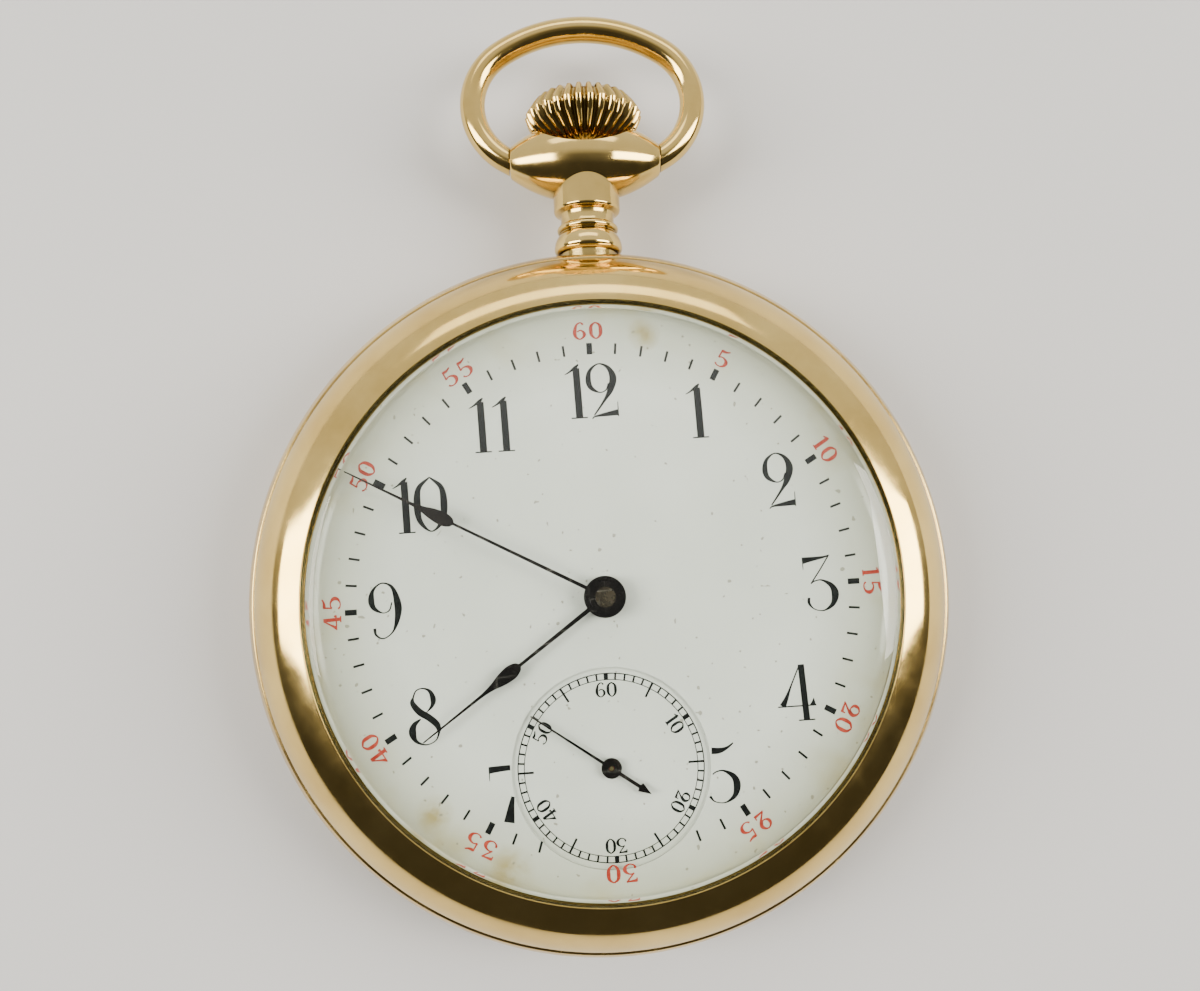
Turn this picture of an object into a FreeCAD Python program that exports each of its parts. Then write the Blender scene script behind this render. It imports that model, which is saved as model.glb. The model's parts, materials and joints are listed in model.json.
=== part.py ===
import FreeCAD, Part
import math
import os

import Sketcher

# An open face pocket watch lying on its back. The flat of the back cover is z = 0, +Z comes out of
# the dial, +Y points to the pendant at twelve o'clock and +X to three o'clock. The hands turn on Z.

os.makedirs("parts", exist_ok=True)
doc = FreeCAD.newDocument("pocket_watch")


# ---------------------------------------------------------------- driving dimensions

class Size:
    """A number and the spreadsheet formula that gives it, so that sums stay bound to the sheet."""

    def __init__(self, value, formula):
        self.value = value
        self.formula = formula

    def joined(self, other, sign, result, swap=False):
        text = other.formula if isinstance(other, Size) else repr(float(other))
        left, right = (text, self.formula) if swap else (self.formula, text)
        return Size(result, f"({left} {sign} {right})")

    def __float__(self):
        return float(self.value)

    def __add__(self, other):
        return self.joined(other, "+", self.value + float(other))

    def __radd__(self, other):
        return self.joined(other, "+", self.value + float(other), swap=True)

    def __sub__(self, other):
        return self.joined(other, "-", self.value - float(other))

    def __rsub__(self, other):
        return self.joined(other, "-", float(other) - self.value, swap=True)

    def __mul__(self, other):
        return self.joined(other, "*", self.value * float(other))

    def __rmul__(self, other):
        return self.joined(other, "*", self.value * float(other), swap=True)

    def __truediv__(self, other):
        return self.joined(other, "/", self.value / float(other))

    def __rtruediv__(self, other):
        return self.joined(other, "/", float(other) / self.value, swap=True)

    def __neg__(self):
        return Size(-self.value, f"(0 - {self.formula})")


def root(size):
    return Size(math.sqrt(float(size)), f"sqrt({size.formula})")


class Sheet:
    """The spreadsheet, with each row's size as an attribute."""

    def __init__(self, rows):
        table = doc.addObject("Spreadsheet::Sheet", "dims")
        for number, (alias, value, note) in enumerate(rows, 1):
            table.set(f"A{number}", note)
            table.set(f"B{number}", str(value))
            table.setAlias(f"B{number}", alias)
            setattr(self, alias, Size(value, f"dims.{alias}"))
        doc.recompute()


d = Sheet([
    ("case_radius", 25.5, "centre band, outside"),
    ("band_low", 3.3, "underside of the centre band"),
    ("band_high", 8.3, "top of the centre band"),
    ("land_radius", 23.6, "lands that carry the bezel and the back"),
    ("land_height", 1.2, "height of each land"),
    ("running_gap", 0.05, "radial clearance of a running fit"),
    ("seat_gap", 0.02, "clearance between fitted pieces"),
    ("shell_wall", 0.5, "thickness of the back cover"),
    ("back_flat_radius", 11.0, "flat that the watch rests on"),
    ("back_shoulder_radius", 23.2, "start of the back cover's turned edge"),
    ("back_shoulder_height", 1.5, "height of the back cover at that place"),
    ("bezel_foot_radius", 24.5, "outside of the bezel at the band"),
    ("bezel_ridge_radius", 22.55, "ridge between the two slopes of the bezel"),
    ("bezel_ridge_height", 10.75, "height of the ridge"),
    ("bezel_top", 11.4, "height of the bezel at its opening"),
    ("opening_radius", 20.63, "opening of the bezel"),
    ("crystal_edge_radius", 20.95, "edge of the crystal in its groove"),
    ("crystal_seat", 10.6, "underside of the crystal's edge"),
    ("crystal_edge", 0.6, "thickness of the crystal's edge"),
    ("crystal_crown", 13.2, "top of the crystal"),
    ("crystal_bevel_radius", 19.85, "inner end of the crystal's bevel"),
    ("crystal_bevel_top", 12.3, "top of the bevel"),
    ("movement_radius", 20.8, "movement inside the case"),
    ("dial_radius", 21.5, "dial and the plate's flange"),
    ("flange_seat", 8.0, "underside of the plate's flange"),
    ("dial_under", 8.8, "underside of the dial"),
    ("dial_top", 9.6, "top of the dial"),
    ("dial_sink", 0.25, "depth of the sunk seconds dial"),
    ("sink_radius", 6.85, "radius of the sunk seconds dial"),
    ("plate_low", 5.8, "face of the pillar plate that carries the bridges"),
    ("plate_high", 8.1, "dial side of the pillar plate"),
    ("train_floor", 7.2, "floor of the recesses in the pillar plate"),
    ("barrel_floor", 7.5, "floor of the barrel recess"),
    ("bridge_low", 3.9, "outer face of the bridges"),
    ("bridge_roof", 5.0, "roof of the recesses in the bridges"),
    ("stem_height", 5.8, "height of the stem's axis"),
    ("seconds_distance", 11.7, "from the hands' axis down to the seconds axis"),
    ("barrel_angle", 42.0, "barrel, from twelve o'clock towards nine"),
    ("barrel_module", 0.23, "barrel teeth and centre pinion"),
    ("centre_module", 0.165, "centre wheel and third pinion"),
    ("third_module", 0.14, "third wheel and fourth pinion"),
    ("fourth_module", 0.13, "fourth wheel and escape pinion"),
    ("motion_module", 0.15, "cannon pinion and minute wheel"),
    ("crown_wheel_distance", 14.0, "from the hands' axis to the crown wheel"),
    ("crown_wheel_recess", 4.3, "ring recess for the crown wheel's face teeth"),
    ("balance_x", 11.2, "balance axis"),
    ("balance_y", -4.6, "balance axis"),
    ("balance_radius", 8.0, "balance rim, outside"),
    ("escape_radius", 3.4, "tips of the escape wheel"),
    ("pivot_radius", 0.16, "pivots in their jewels"),
    ("jewel_radius", 0.7, "outside of a jewel"),
    ("jewel_height", 0.35, "thickness of a jewel"),
    ("head_centre", 32.85, "axis of the bow, from the hands' axis"),
    ("head_half_length", 5.66, "half the length of the pendant head"),
    ("head_radius", 3.05, "pendant head at its middle"),
    ("head_end_radius", 1.13, "pendant head at its flat ends"),
    ("neck_radius", 2.5, "upper neck"),
    ("shank_radius", 2.1, "pendant shank in the case"),
    ("pendant_bore", 1.55, "bore of the pendant"),
    ("crown_radius", 4.43, "winding crown over its ridges"),
    ("crown_low", 33.95, "underside of the crown"),
    ("crown_high", 38.0, "top of the crown"),
    ("ridge_depth", 0.32, "depth of the grooves between the crown's ridges"),
    ("wire_radius", 0.95, "bow wire"),
    ("bow_half_width", 8.38, "centre line of the bow at its widest"),
    ("bow_top", 43.27, "centre line of the bow at the top"),
    ("bow_side_radius", 4.87, "bend at each side of the bow"),
    ("bow_side_centre", 37.35, "centre of the side bends"),
    ("stem_radius", 0.8, "stem, round part"),
    ("stem_square", 1.1, "stem, across the flats of the square"),
    ("minute_length", 19.8, "minute hand"),
    ("minute_hub", 1.38, "hub of the minute hand"),
    ("hour_length", 15.75, "hour hand"),
    ("hour_hub", 1.45, "hub of the hour hand"),
    ("hour_bore", 1.22, "hole of the hour hand on its wheel's pipe"),
    ("minute_bore", 0.72, "hole of the minute hand on the cannon pinion"),
    ("seconds_length", 6.6, "seconds hand"),
])

# tooth counts of the going train give 1 : 60 from centre to seconds and 1 : 10 on to the escape wheel
BARREL_TEETH, CENTRE_LEAVES = 78, 12
CENTRE_TEETH, THIRD_LEAVES = 80, 10
THIRD_TEETH, FOURTH_LEAVES = 75, 10
FOURTH_TEETH, ESCAPE_LEAVES = 70, 7
ESCAPE_TEETH = 15
# motion work, 1 : 12 from the cannon pinion to the hour wheel
CANNON_LEAVES, MINUTE_TEETH, MINUTE_LEAVES, HOUR_TEETH = 12, 36, 10, 40
SETTING_TEETH, SMALL_SETTING_TEETH = 24, 20
# winding work
WINDING_LEAVES, CROWN_TEETH, RATCHET_TEETH = 12, 36, 52
PINION_PITCH = 1.25
CROWN_RIDGES = 30

# the hands at rest show 7 h 49 min 51 s, as angles clockwise from twelve o'clock
SECONDS_READING = 306.0
MINUTE_READING = 6 * (49 + SECONDS_READING / 360)
HOUR_READING = 30 * (7 + MINUTE_READING / 360)
# the movement sits slightly anticlockwise in its case
DIAL_LEAN = -1.25
SECONDS_ANGLE = SECONDS_READING + DIAL_LEAN
MINUTE_ANGLE = MINUTE_READING + DIAL_LEAN
HOUR_ANGLE = HOUR_READING + DIAL_LEAN


# ---------------------------------------------------------------- drawing helpers

def bind(thing, path, size):
    """Set a property and, where the size comes from the sheet, bind it there."""
    if isinstance(size, Size):
        thing.setExpression(path, size.formula)
    elif path.isalpha():
        setattr(thing, path, size)


def place(thing, x=0.0, y=0.0, z=0.0, turn=0.0, along_stem=False):
    """Put a piece at x, y, z, turned about its own Z; along_stem lays its Z along +Y."""
    rotation = FreeCAD.Rotation(FreeCAD.Vector(0, 0, 1), turn)
    if along_stem:
        rotation = FreeCAD.Rotation(FreeCAD.Vector(1, 0, 0), -90) * rotation
    thing.Placement = FreeCAD.Placement(FreeCAD.Vector(float(x), float(y), float(z)), rotation)
    for axis, size in zip("xyz", (x, y, z)):
        bind(thing, f"Placement.Base.{axis}", size)


def new_body(label, **where):
    body = doc.addObject("PartDesign::Body", label)
    body.Label = label
    place(body, **where)
    return body


def new_sketch(body, role="XY_Plane", offset=0.0):
    sketch = body.newObject("Sketcher::SketchObject", f"{body.Label}_outline")
    plane = [f for f in body.Origin.OriginFeatures if f.Role == role][0]
    sketch.AttachmentSupport = [(plane, "")]
    sketch.MapMode = "FlatFace"
    sketch.AttachmentOffset = FreeCAD.Placement(
        FreeCAD.Vector(0, 0, float(offset)), FreeCAD.Rotation())
    bind(sketch, ".AttachmentOffset.Base.z", offset)
    return sketch


def hold_point(sketch, edge, end, x, y):
    """Dimension a point from the sketch's origin."""
    for kind, size in (("DistanceX", x), ("DistanceY", y)):
        number = sketch.addConstraint(
            Sketcher.Constraint(kind, -1, 1, edge, end, float(size)))
        bind(sketch, f"Constraints[{number}]", size)


def draw_circle(sketch, radius, x=0.0, y=0.0):
    centre = FreeCAD.Vector(float(x), float(y), 0)
    edge = sketch.addGeometry(
        Part.Circle(centre, FreeCAD.Vector(0, 0, 1), float(radius)), False)
    hold_point(sketch, edge, 3, x, y)
    number = sketch.addConstraint(Sketcher.Constraint("Radius", edge, float(radius)))
    bind(sketch, f"Constraints[{number}]", radius)


def draw_edges(sketch, corners, closed=True):
    """Draw through the corners. A corner's third number is how far the edge that leaves it bows out
    to the left of the direction of travel; to the right when negative."""
    count = len(corners)
    points = [FreeCAD.Vector(float(c[0]), float(c[1]), 0) for c in corners]
    ends = []
    for k in range(count if closed else count - 1):
        after = (k + 1) % count
        start, stop = points[k], points[after]
        if len(corners[k]) == 2:
            edge = sketch.addGeometry(Part.LineSegment(start, stop), False)
            ends.append((edge, 1, 2))
            continue
        rise = corners[k][2]
        run = stop - start
        left = FreeCAD.Vector(-run.y, run.x, 0)
        left.normalize()
        middle = (start + stop) * 0.5 + left * float(rise)
        if float(rise) > 0:
            edge = sketch.addGeometry(Part.Arc(stop, middle, start), False)
            ends.append((edge, 2, 1))
            height = rise
        else:
            edge = sketch.addGeometry(Part.Arc(start, middle, stop), False)
            ends.append((edge, 1, 2))
            height = -rise
        width = corners[after][0] - corners[k][0]
        depth = corners[after][1] - corners[k][1]
        radius = (width * width + depth * depth) / (height * 8.0) + height / 2.0
        number = sketch.addConstraint(Sketcher.Constraint("Radius", edge, float(radius)))
        bind(sketch, f"Constraints[{number}]", radius)
    for k, (edge, begin, end) in enumerate(ends):
        hold_point(sketch, edge, begin, corners[k][0], corners[k][1])
        if closed or k + 1 < len(ends):
            following = ends[(k + 1) % len(ends)]
            sketch.addConstraint(
                Sketcher.Constraint("Coincident", edge, end, following[0], following[1]))
    if not closed:
        hold_point(sketch, ends[-1][0], ends[-1][2], corners[-1][0], corners[-1][1])
    return [edge for edge, _, _ in ends]


def raise_pad(body, sketch, height):
    pad = body.newObject("PartDesign::Pad", "pad")
    pad.Profile = sketch
    pad.Refine = False
    bind(pad, "Length", height)
    return pad


def sink_pocket(body, sketch, depth):
    """Cut from the sketch towards the body's +Z."""
    pocket = body.newObject("PartDesign::Pocket", "pocket")
    pocket.Profile = sketch
    pocket.Reversed = True
    pocket.Refine = False
    bind(pocket, "Length", depth)
    return pocket


def turn_solid(body, sketch, axis="V_Axis"):
    turned = body.newObject("PartDesign::Revolution", "revolution")
    turned.Profile = sketch
    turned.ReferenceAxis = (sketch, [axis])
    turned.Angle = 360
    turned.Refine = False
    return turned


def turn_groove(body, sketch, axis="V_Axis"):
    cut = body.newObject("PartDesign::Groove", "groove")
    cut.Profile = sketch
    cut.ReferenceAxis = (sketch, [axis])
    cut.Angle = 360
    cut.Refine = False
    return cut


def around(body, feature, count, axis="N_Axis"):
    """Repeat a feature evenly about an axis of its sketch, the body's Z unless told otherwise."""
    doc.recompute()
    pattern = body.newObject("PartDesign::PolarPattern", "pattern")
    pattern.Originals = [feature]
    pattern.Axis = (feature.Profile[0], [axis])
    pattern.Angle = 360
    pattern.Occurrences = count
    pattern.Refine = False
    body.Tip = pattern
    return pattern


def disc(body, radius, low, high, x=0.0, y=0.0, bore=None):
    """A round plate from low to high, with a bore if one is given."""
    sketch = new_sketch(body, offset=low)
    draw_circle(sketch, radius, x, y)
    if bore is not None:
        draw_circle(sketch, bore, x, y)
    return raise_pad(body, sketch, high - low)


def round_cut(body, radius, low, high, x=0.0, y=0.0, core=None):
    """Cut a round hole, or a ring around a core, from low to high."""
    sketch = new_sketch(body, offset=low)
    draw_circle(sketch, radius, x, y)
    if core is not None:
        draw_circle(sketch, core, x, y)
    return sink_pocket(body, sketch, high - low)


def box_cut(body, left, right, front, rear, low, high):
    sketch = new_sketch(body, offset=low)
    draw_edges(sketch, [(left, front), (right, front), (right, rear), (left, rear)])
    return sink_pocket(body, sketch, high - low)


def slab(body, corners, low, high):
    """A plate of the given outline from low to high."""
    sketch = new_sketch(body, offset=low)
    draw_edges(sketch, corners)
    return raise_pad(body, sketch, high - low)


def turned(body, corners, role="XZ_Plane"):
    """A turned solid; corners are (radius, height)."""
    sketch = new_sketch(body, role)
    draw_edges(sketch, corners)
    return turn_solid(body, sketch)


# ---------------------------------------------------------------- gear helpers

def teeth(body, count, module, low, high, addendum=1.1, dedendum=1.3, width=1.4):
    """Spur teeth on a blank: radial flanks below the pitch circle and pointed tips above it."""
    pitch = module * count / 2
    base = pitch - module * dedendum
    buried = base - module * 0.4
    half = module * width / 2
    disc(body, base, low, high)
    tooth = slab(body, [
        (buried, -half * 0.8),
        (pitch, -half),
        (pitch + module * addendum, -half * 0.25),
        (pitch + module * addendum, half * 0.25),
        (pitch, half),
        (buried, half * 0.8),
    ], low, high)
    around(body, tooth, count)


def leaves(body, count, module, low, high):
    """The few long teeth of a pinion."""
    teeth(body, count, module, low, high, addendum=0.75, dedendum=1.45, width=1.15)


def cross_out(body, inner, outer, low, high, arms, arm_width=0.9):
    """Cut the windows between the arms of a wheel."""
    step = math.pi / arms
    edge_in = math.asin(arm_width / 2 / float(inner))
    edge_out = math.asin(arm_width / 2 / float(outer))
    corners = []
    for radius, angle in ((inner, edge_in - step), (outer, edge_out - step),
                          (outer, step - edge_out), (inner, step - edge_in)):
        corners.append([radius * math.cos(angle), radius * math.sin(angle)])
    corners[1].append(-outer * (1 - math.cos(step - edge_out)))
    corners[3].append(inner * (1 - math.cos(step - edge_in)))
    sketch = new_sketch(body, offset=low)
    draw_edges(sketch, corners)
    window = sink_pocket(body, sketch, high - low)
    around(body, window, arms)


def direction(start, stop):
    """Angle in degrees from one axis to another."""
    return math.degrees(math.atan2(float(stop[1]) - float(start[1]),
                                   float(stop[0]) - float(start[0])))


def meshed_turn(driver_teeth, driver_turn, driver_at, teeth_count, at):
    """Turn of a gear whose gap meets the driver's tooth on the line between their axes."""
    line = direction(driver_at, at)
    return line + 180 - driver_teeth / teeth_count * (driver_turn - line) - 180 / teeth_count


def ring_places(radius, angles):
    return [(radius * math.cos(math.radians(a)), radius * math.sin(math.radians(a))) for a in angles]


def arc_rise(radius, from_angle, to_angle):
    return radius * (1 - math.cos(math.radians(to_angle - from_angle) / 2))


def arbor(body, radius, low, high, pivot=d.pivot_radius, pivot_length=0.3):
    """A turned arbor with a thinner pivot at each end."""
    turned(body, [
        (0.0, low), (pivot, low), (pivot, low + pivot_length), (radius, low + pivot_length),
        (radius, high - pivot_length), (pivot, high - pivot_length), (pivot, high), (0.0, high),
    ])


# ---------------------------------------------------------------- where the axes are

def crossing(distance_a, distance_b, below):
    """The axis at distance_a from the hands' axis and distance_b from the axis straight below it."""
    y = -(distance_a * distance_a - distance_b * distance_b + below * below) / (below * 2)
    x = -root(distance_a * distance_a - y * y)
    return x, y


CENTRE = (0.0, 0.0)
SECONDS = (0.0, -d.seconds_distance)
barrel_reach = d.barrel_module * ((BARREL_TEETH + CENTRE_LEAVES) / 2)
BARREL = (-barrel_reach * math.sin(math.radians(d.barrel_angle.value)),
          barrel_reach * math.cos(math.radians(d.barrel_angle.value)))
THIRD = crossing(d.centre_module * ((CENTRE_TEETH + THIRD_LEAVES) / 2),
                 d.third_module * ((THIRD_TEETH + FOURTH_LEAVES) / 2), d.seconds_distance)
escape_reach = d.fourth_module * ((FOURTH_TEETH + ESCAPE_LEAVES) / 2)
ESCAPE_LINE = math.radians(-22.4)
ESCAPE = (escape_reach * math.cos(ESCAPE_LINE), escape_reach * math.sin(ESCAPE_LINE) + SECONDS[1])
BALANCE = (d.balance_x, d.balance_y)
balance_line = math.radians(direction(ESCAPE, BALANCE))
pallet_reach = d.escape_radius / math.cos(math.radians(30))
PALLET = (ESCAPE[0] + pallet_reach * math.cos(balance_line),
          ESCAPE[1] + pallet_reach * math.sin(balance_line))
CROWN_WHEEL = (0.0, d.crown_wheel_distance)
minute_reach = d.motion_module * ((CANNON_LEAVES + MINUTE_TEETH) / 2)
MINUTE_LINE = math.radians(66.0)
MINUTE = (minute_reach * math.cos(MINUTE_LINE), minute_reach * math.sin(MINUTE_LINE))
SCREW_HEAD = 0.95


# ---------------------------------------------------------------- turns that put the teeth in mesh

CENTRE_TURN = 0.0
THIRD_TURN = meshed_turn(CENTRE_TEETH, CENTRE_TURN, CENTRE, THIRD_LEAVES, THIRD)
FOURTH_TURN = meshed_turn(THIRD_TEETH, THIRD_TURN, THIRD, FOURTH_LEAVES, SECONDS)
ESCAPE_TURN = meshed_turn(FOURTH_TEETH, FOURTH_TURN, SECONDS, ESCAPE_LEAVES, ESCAPE)
BARREL_TURN = meshed_turn(CENTRE_LEAVES, CENTRE_TURN, CENTRE, BARREL_TEETH, BARREL)
CANNON_TURN = 0.0
MINUTE_TURN = meshed_turn(CANNON_LEAVES, CANNON_TURN, CENTRE, MINUTE_TEETH, MINUTE)
HOUR_MODULE = minute_reach / ((HOUR_TEETH + MINUTE_LEAVES) / 2)
HOUR_TURN = meshed_turn(MINUTE_LEAVES, MINUTE_TURN, MINUTE, HOUR_TEETH, CENTRE)
idler_reach = d.motion_module * ((MINUTE_TEETH + SMALL_SETTING_TEETH) / 2)
IDLER_LINE = math.radians(112.0)
IDLER = (MINUTE[0] + idler_reach * math.cos(IDLER_LINE), MINUTE[1] + idler_reach * math.sin(IDLER_LINE))
IDLER_TURN = meshed_turn(MINUTE_TEETH, MINUTE_TURN, MINUTE, SMALL_SETTING_TEETH, IDLER)
setting_reach = d.motion_module * ((SMALL_SETTING_TEETH + SETTING_TEETH) / 2)
SETTING_LINE = math.radians(80.0)
SETTING = (IDLER[0] + setting_reach * math.cos(SETTING_LINE),
           IDLER[1] + setting_reach * math.sin(SETTING_LINE))
SETTING_TURN = meshed_turn(SMALL_SETTING_TEETH, IDLER_TURN, IDLER, SETTING_TEETH, SETTING)
winding_reach = root((BARREL[0] - CROWN_WHEEL[0]) * (BARREL[0] - CROWN_WHEEL[0])
                     + (BARREL[1] - CROWN_WHEEL[1]) * (BARREL[1] - CROWN_WHEEL[1]))
WINDING_MODULE = winding_reach / ((CROWN_TEETH + RATCHET_TEETH) / 2)
CROWN_TURN = 90.0
RATCHET_TURN = meshed_turn(CROWN_TEETH, CROWN_TURN, CROWN_WHEEL, RATCHET_TEETH, BARREL)
FORK_MIDDLE = ((PALLET[0] + BALANCE[0]) / 2, (PALLET[1] + BALANCE[1]) / 2)
CLICK_LINE = math.radians(165)
CLICK = (BARREL[0] + 8.2 * math.cos(CLICK_LINE), BARREL[1] + 8.2 * math.sin(CLICK_LINE))
COCK_FOOT = (16.5, 6.2)
PALLET_FOOT = (float(PALLET[0]) + 3.9, float(PALLET[1]) - 2.9)
STUD_LINE = math.radians(direction(BALANCE, COCK_FOOT))
STUD = (BALANCE[0] + 4.55 * math.cos(STUD_LINE), BALANCE[1] + 4.55 * math.sin(STUD_LINE))
REGULATOR_TURN = 200.0
BRIDGE_SCREWS = [(15.3, 11.9), (-3.5, 18.9), (-19.0, 2.6),
                 (-17.2, -7.4), (-8.6, -17.0), (7.0, -18.4)]
LOWER_JEWELS = [THIRD, SECONDS, ESCAPE, PALLET, BALANCE]
DIAL_FEET = (60, 180, 300)
CASE_SCREWS = (6, 192)


# ---------------------------------------------------------------- case

def make_case_center():
    body = new_body("case_center")
    swell = 0.75
    land = d.land_radius
    turned(body, [
        (21.9, d.band_low - d.land_height),
        (land, d.band_low - d.land_height),
        (land, d.band_low),
        (d.case_radius - swell, d.band_low, -swell),
        (d.case_radius - swell, d.band_high),
        (land, d.band_high),
        (land, d.band_high + d.land_height),
        (d.dial_radius + 0.1, d.band_high + d.land_height),
        (d.dial_radius + 0.1, d.flange_seat),
        (d.movement_radius + 0.1, d.flange_seat),
        (d.movement_radius + 0.1, d.plate_low),
        (21.9, d.plate_low),
    ])
    hole = new_sketch(body, "XZ_Plane", offset=-d.case_radius - 1)
    draw_circle(hole, d.shank_radius + d.seat_gap, 0.0, d.stem_height)
    sink_pocket(body, hole, 8.0)


def make_pendant():
    body = new_body("pendant", y=d.head_centre, z=d.stem_height)
    base = -d.head_centre
    shank, bore = d.shank_radius, d.pendant_bore
    waist, ring, bead = 2.04, 2.08, 2.55
    foot = base + d.case_radius + 0.08
    turned(body, [
        (bore, base + 22.1),
        (shank, base + 22.1),
        (shank, foot),
        (2.25, foot, -0.1),
        (bead, foot + 0.5, -0.12),
        (waist, foot + 1.6),
        (ring, foot + 1.65, -0.22),
        (ring, foot + 2.15),
        (waist, foot + 2.25, 0.05),
        (waist, foot + 3.05),
        (d.neck_radius - 0.08, foot + 3.2),
        (d.neck_radius, foot + 3.35),
        (d.neck_radius, 0.0),
        (bore, 0.0),
    ], role="XY_Plane")
    head = new_sketch(body)
    half = d.head_half_length
    draw_edges(head, [
        (-half, 0.0),
        (-half, d.head_end_radius, d.head_radius - d.head_end_radius),
        (half, d.head_end_radius),
        (half, 0.0),
    ])
    turn_solid(body, head, "H_Axis")
    saddle = new_sketch(body)
    draw_edges(saddle, [
        (0.0, 0.05),
        (1.9, 0.05, -0.55),
        (3.85, 2.08),
        (d.crown_radius + 0.2, 2.08),
        (d.crown_radius + 0.2, 3.5),
        (0.0, 3.5),
    ])
    turn_groove(body, saddle)
    tube = new_sketch(body)
    draw_edges(tube, [(0.0, base + 22.0), (bore, base + 22.0), (bore, 3.5), (0.0, 3.5)])
    turn_groove(body, tube)
    for side in (-1, 1):
        eye = new_sketch(body, "YZ_Plane", offset=half * side)
        draw_circle(eye, 0.5)
        cut = sink_pocket(body, eye, 1.5)
        cut.Reversed = side < 0


def make_bow():
    body = new_body("bow", y=d.head_centre, z=d.stem_height)
    side_y = d.bow_side_centre - d.head_centre
    top_y = d.bow_top - d.head_centre
    side_x = d.bow_half_width - d.bow_side_radius
    # the top arc touches the side arc: their centres and radii lie on one line
    drop = top_y - side_y
    top_radius = ((side_x * side_x + drop * drop - d.bow_side_radius * d.bow_side_radius)
                  / ((drop - d.bow_side_radius) * 2))
    lean = math.atan2(side_y.value - top_y.value + top_radius.value, side_x.value)
    touch = (side_x + d.bow_side_radius * math.cos(lean), side_y + d.bow_side_radius * math.sin(lean))
    low_turn = math.radians(60)
    low = (side_x + d.bow_side_radius * math.cos(low_turn),
           side_y - d.bow_side_radius * math.sin(low_turn))
    end = (low[0] - 2.2 * math.sin(low_turn), low[1] - 2.2 * math.cos(low_turn))
    top_rise = top_radius * (1 - math.cos((math.pi / 2 - lean) / 2))
    side_rise = d.bow_side_radius * (1 - math.cos((lean + low_turn) / 2))
    spine = new_sketch(body)
    draw_edges(spine, [(0.0, top_y, top_rise), (touch[0], touch[1], side_rise),
                       (low[0], low[1]), (end[0], end[1])], closed=False)
    wire = new_sketch(body, "YZ_Plane")
    draw_circle(wire, d.wire_radius, top_y, 0.0)
    doc.recompute()
    pipe = body.newObject("PartDesign::AdditivePipe", "pipe")
    pipe.Profile = wire
    pipe.Spine = (spine, ["Edge1", "Edge2", "Edge3"])
    pipe.Refine = False
    doc.recompute()
    mirror = body.newObject("PartDesign::Mirrored", "mirrored")
    mirror.Originals = [pipe]
    mirror.MirrorPlane = ([f for f in body.Origin.OriginFeatures if f.Role == "YZ_Plane"][0], [""])
    body.Tip = mirror
    doc.recompute()
    reach = d.head_half_length + 0.06
    box_cut(body, -reach, reach, -3.0, 3.0, -2.0, 2.0)
    for side in (-1, 1):
        pin = new_sketch(body, "YZ_Plane", offset=side * (d.head_half_length - 1.2))
        draw_circle(pin, 0.45)
        pad = raise_pad(body, pin, 1.7)
        pad.Reversed = side < 0


def make_bezel():
    body = new_body("bezel")
    skirt = d.land_radius + d.running_gap
    foot = d.band_high + d.running_gap
    opening = d.opening_radius
    groove = d.crystal_edge_radius + d.seat_gap
    roof = d.band_high + d.land_height + 0.15
    turned(body, [
        (skirt, foot),
        (d.bezel_foot_radius - 0.15, foot, -0.06),
        (d.bezel_foot_radius, foot + 0.2, -0.16),
        (d.bezel_ridge_radius, d.bezel_ridge_height),
        (d.bezel_ridge_radius - 0.08, d.bezel_ridge_height + 0.05, -0.1),
        (opening + 0.12, d.bezel_top, -0.05),
        (opening, d.bezel_top - 0.12),
        (opening, d.crystal_seat + d.crystal_edge + d.seat_gap),
        (groove, d.crystal_seat + d.crystal_edge + d.seat_gap),
        (groove, d.crystal_seat - d.seat_gap),
        (opening - 0.2, d.crystal_seat - d.seat_gap),
        (opening - 0.2, roof),
        (skirt, roof),
    ])


def make_crystal():
    body = new_body("crystal")
    bevel = d.crystal_bevel_radius
    edge_top = d.crystal_seat + d.crystal_edge
    middle = 0.5
    under = d.crystal_crown - 1.05
    rim = edge_top + 0.1
    turned(body, [
        (0.0, under),
        (middle, under, (under - rim) / 4),
        (bevel + 0.2, rim),
        (bevel + 0.55, d.crystal_seat),
        (d.crystal_edge_radius, d.crystal_seat),
        (d.crystal_edge_radius, edge_top),
        (d.opening_radius - 0.06, edge_top),
        (d.opening_radius - 0.06, edge_top + 0.12),
        (bevel, d.crystal_bevel_top, (d.crystal_bevel_top - d.crystal_crown) / 4),
        (middle, d.crystal_crown),
        (0.0, d.crystal_crown),
    ])


def make_back_cover():
    body = new_body("back_cover")
    wall = d.shell_wall
    skirt = d.land_radius + d.running_gap
    rim = d.band_low - d.running_gap
    turned(body, [
        (0.0, 0.0),
        (d.back_flat_radius, 0.0, -0.15),
        (d.back_shoulder_radius, d.back_shoulder_height, -0.25),
        (d.case_radius - 0.8, rim - 0.2),
        (d.case_radius - 0.95, rim),
        (skirt, rim),
        (skirt, d.band_low - d.land_height - 0.15),
        (d.back_shoulder_radius - 0.25, d.back_shoulder_height + wall, 0.15),
        (d.back_flat_radius, wall),
        (0.0, wall),
    ])


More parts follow.
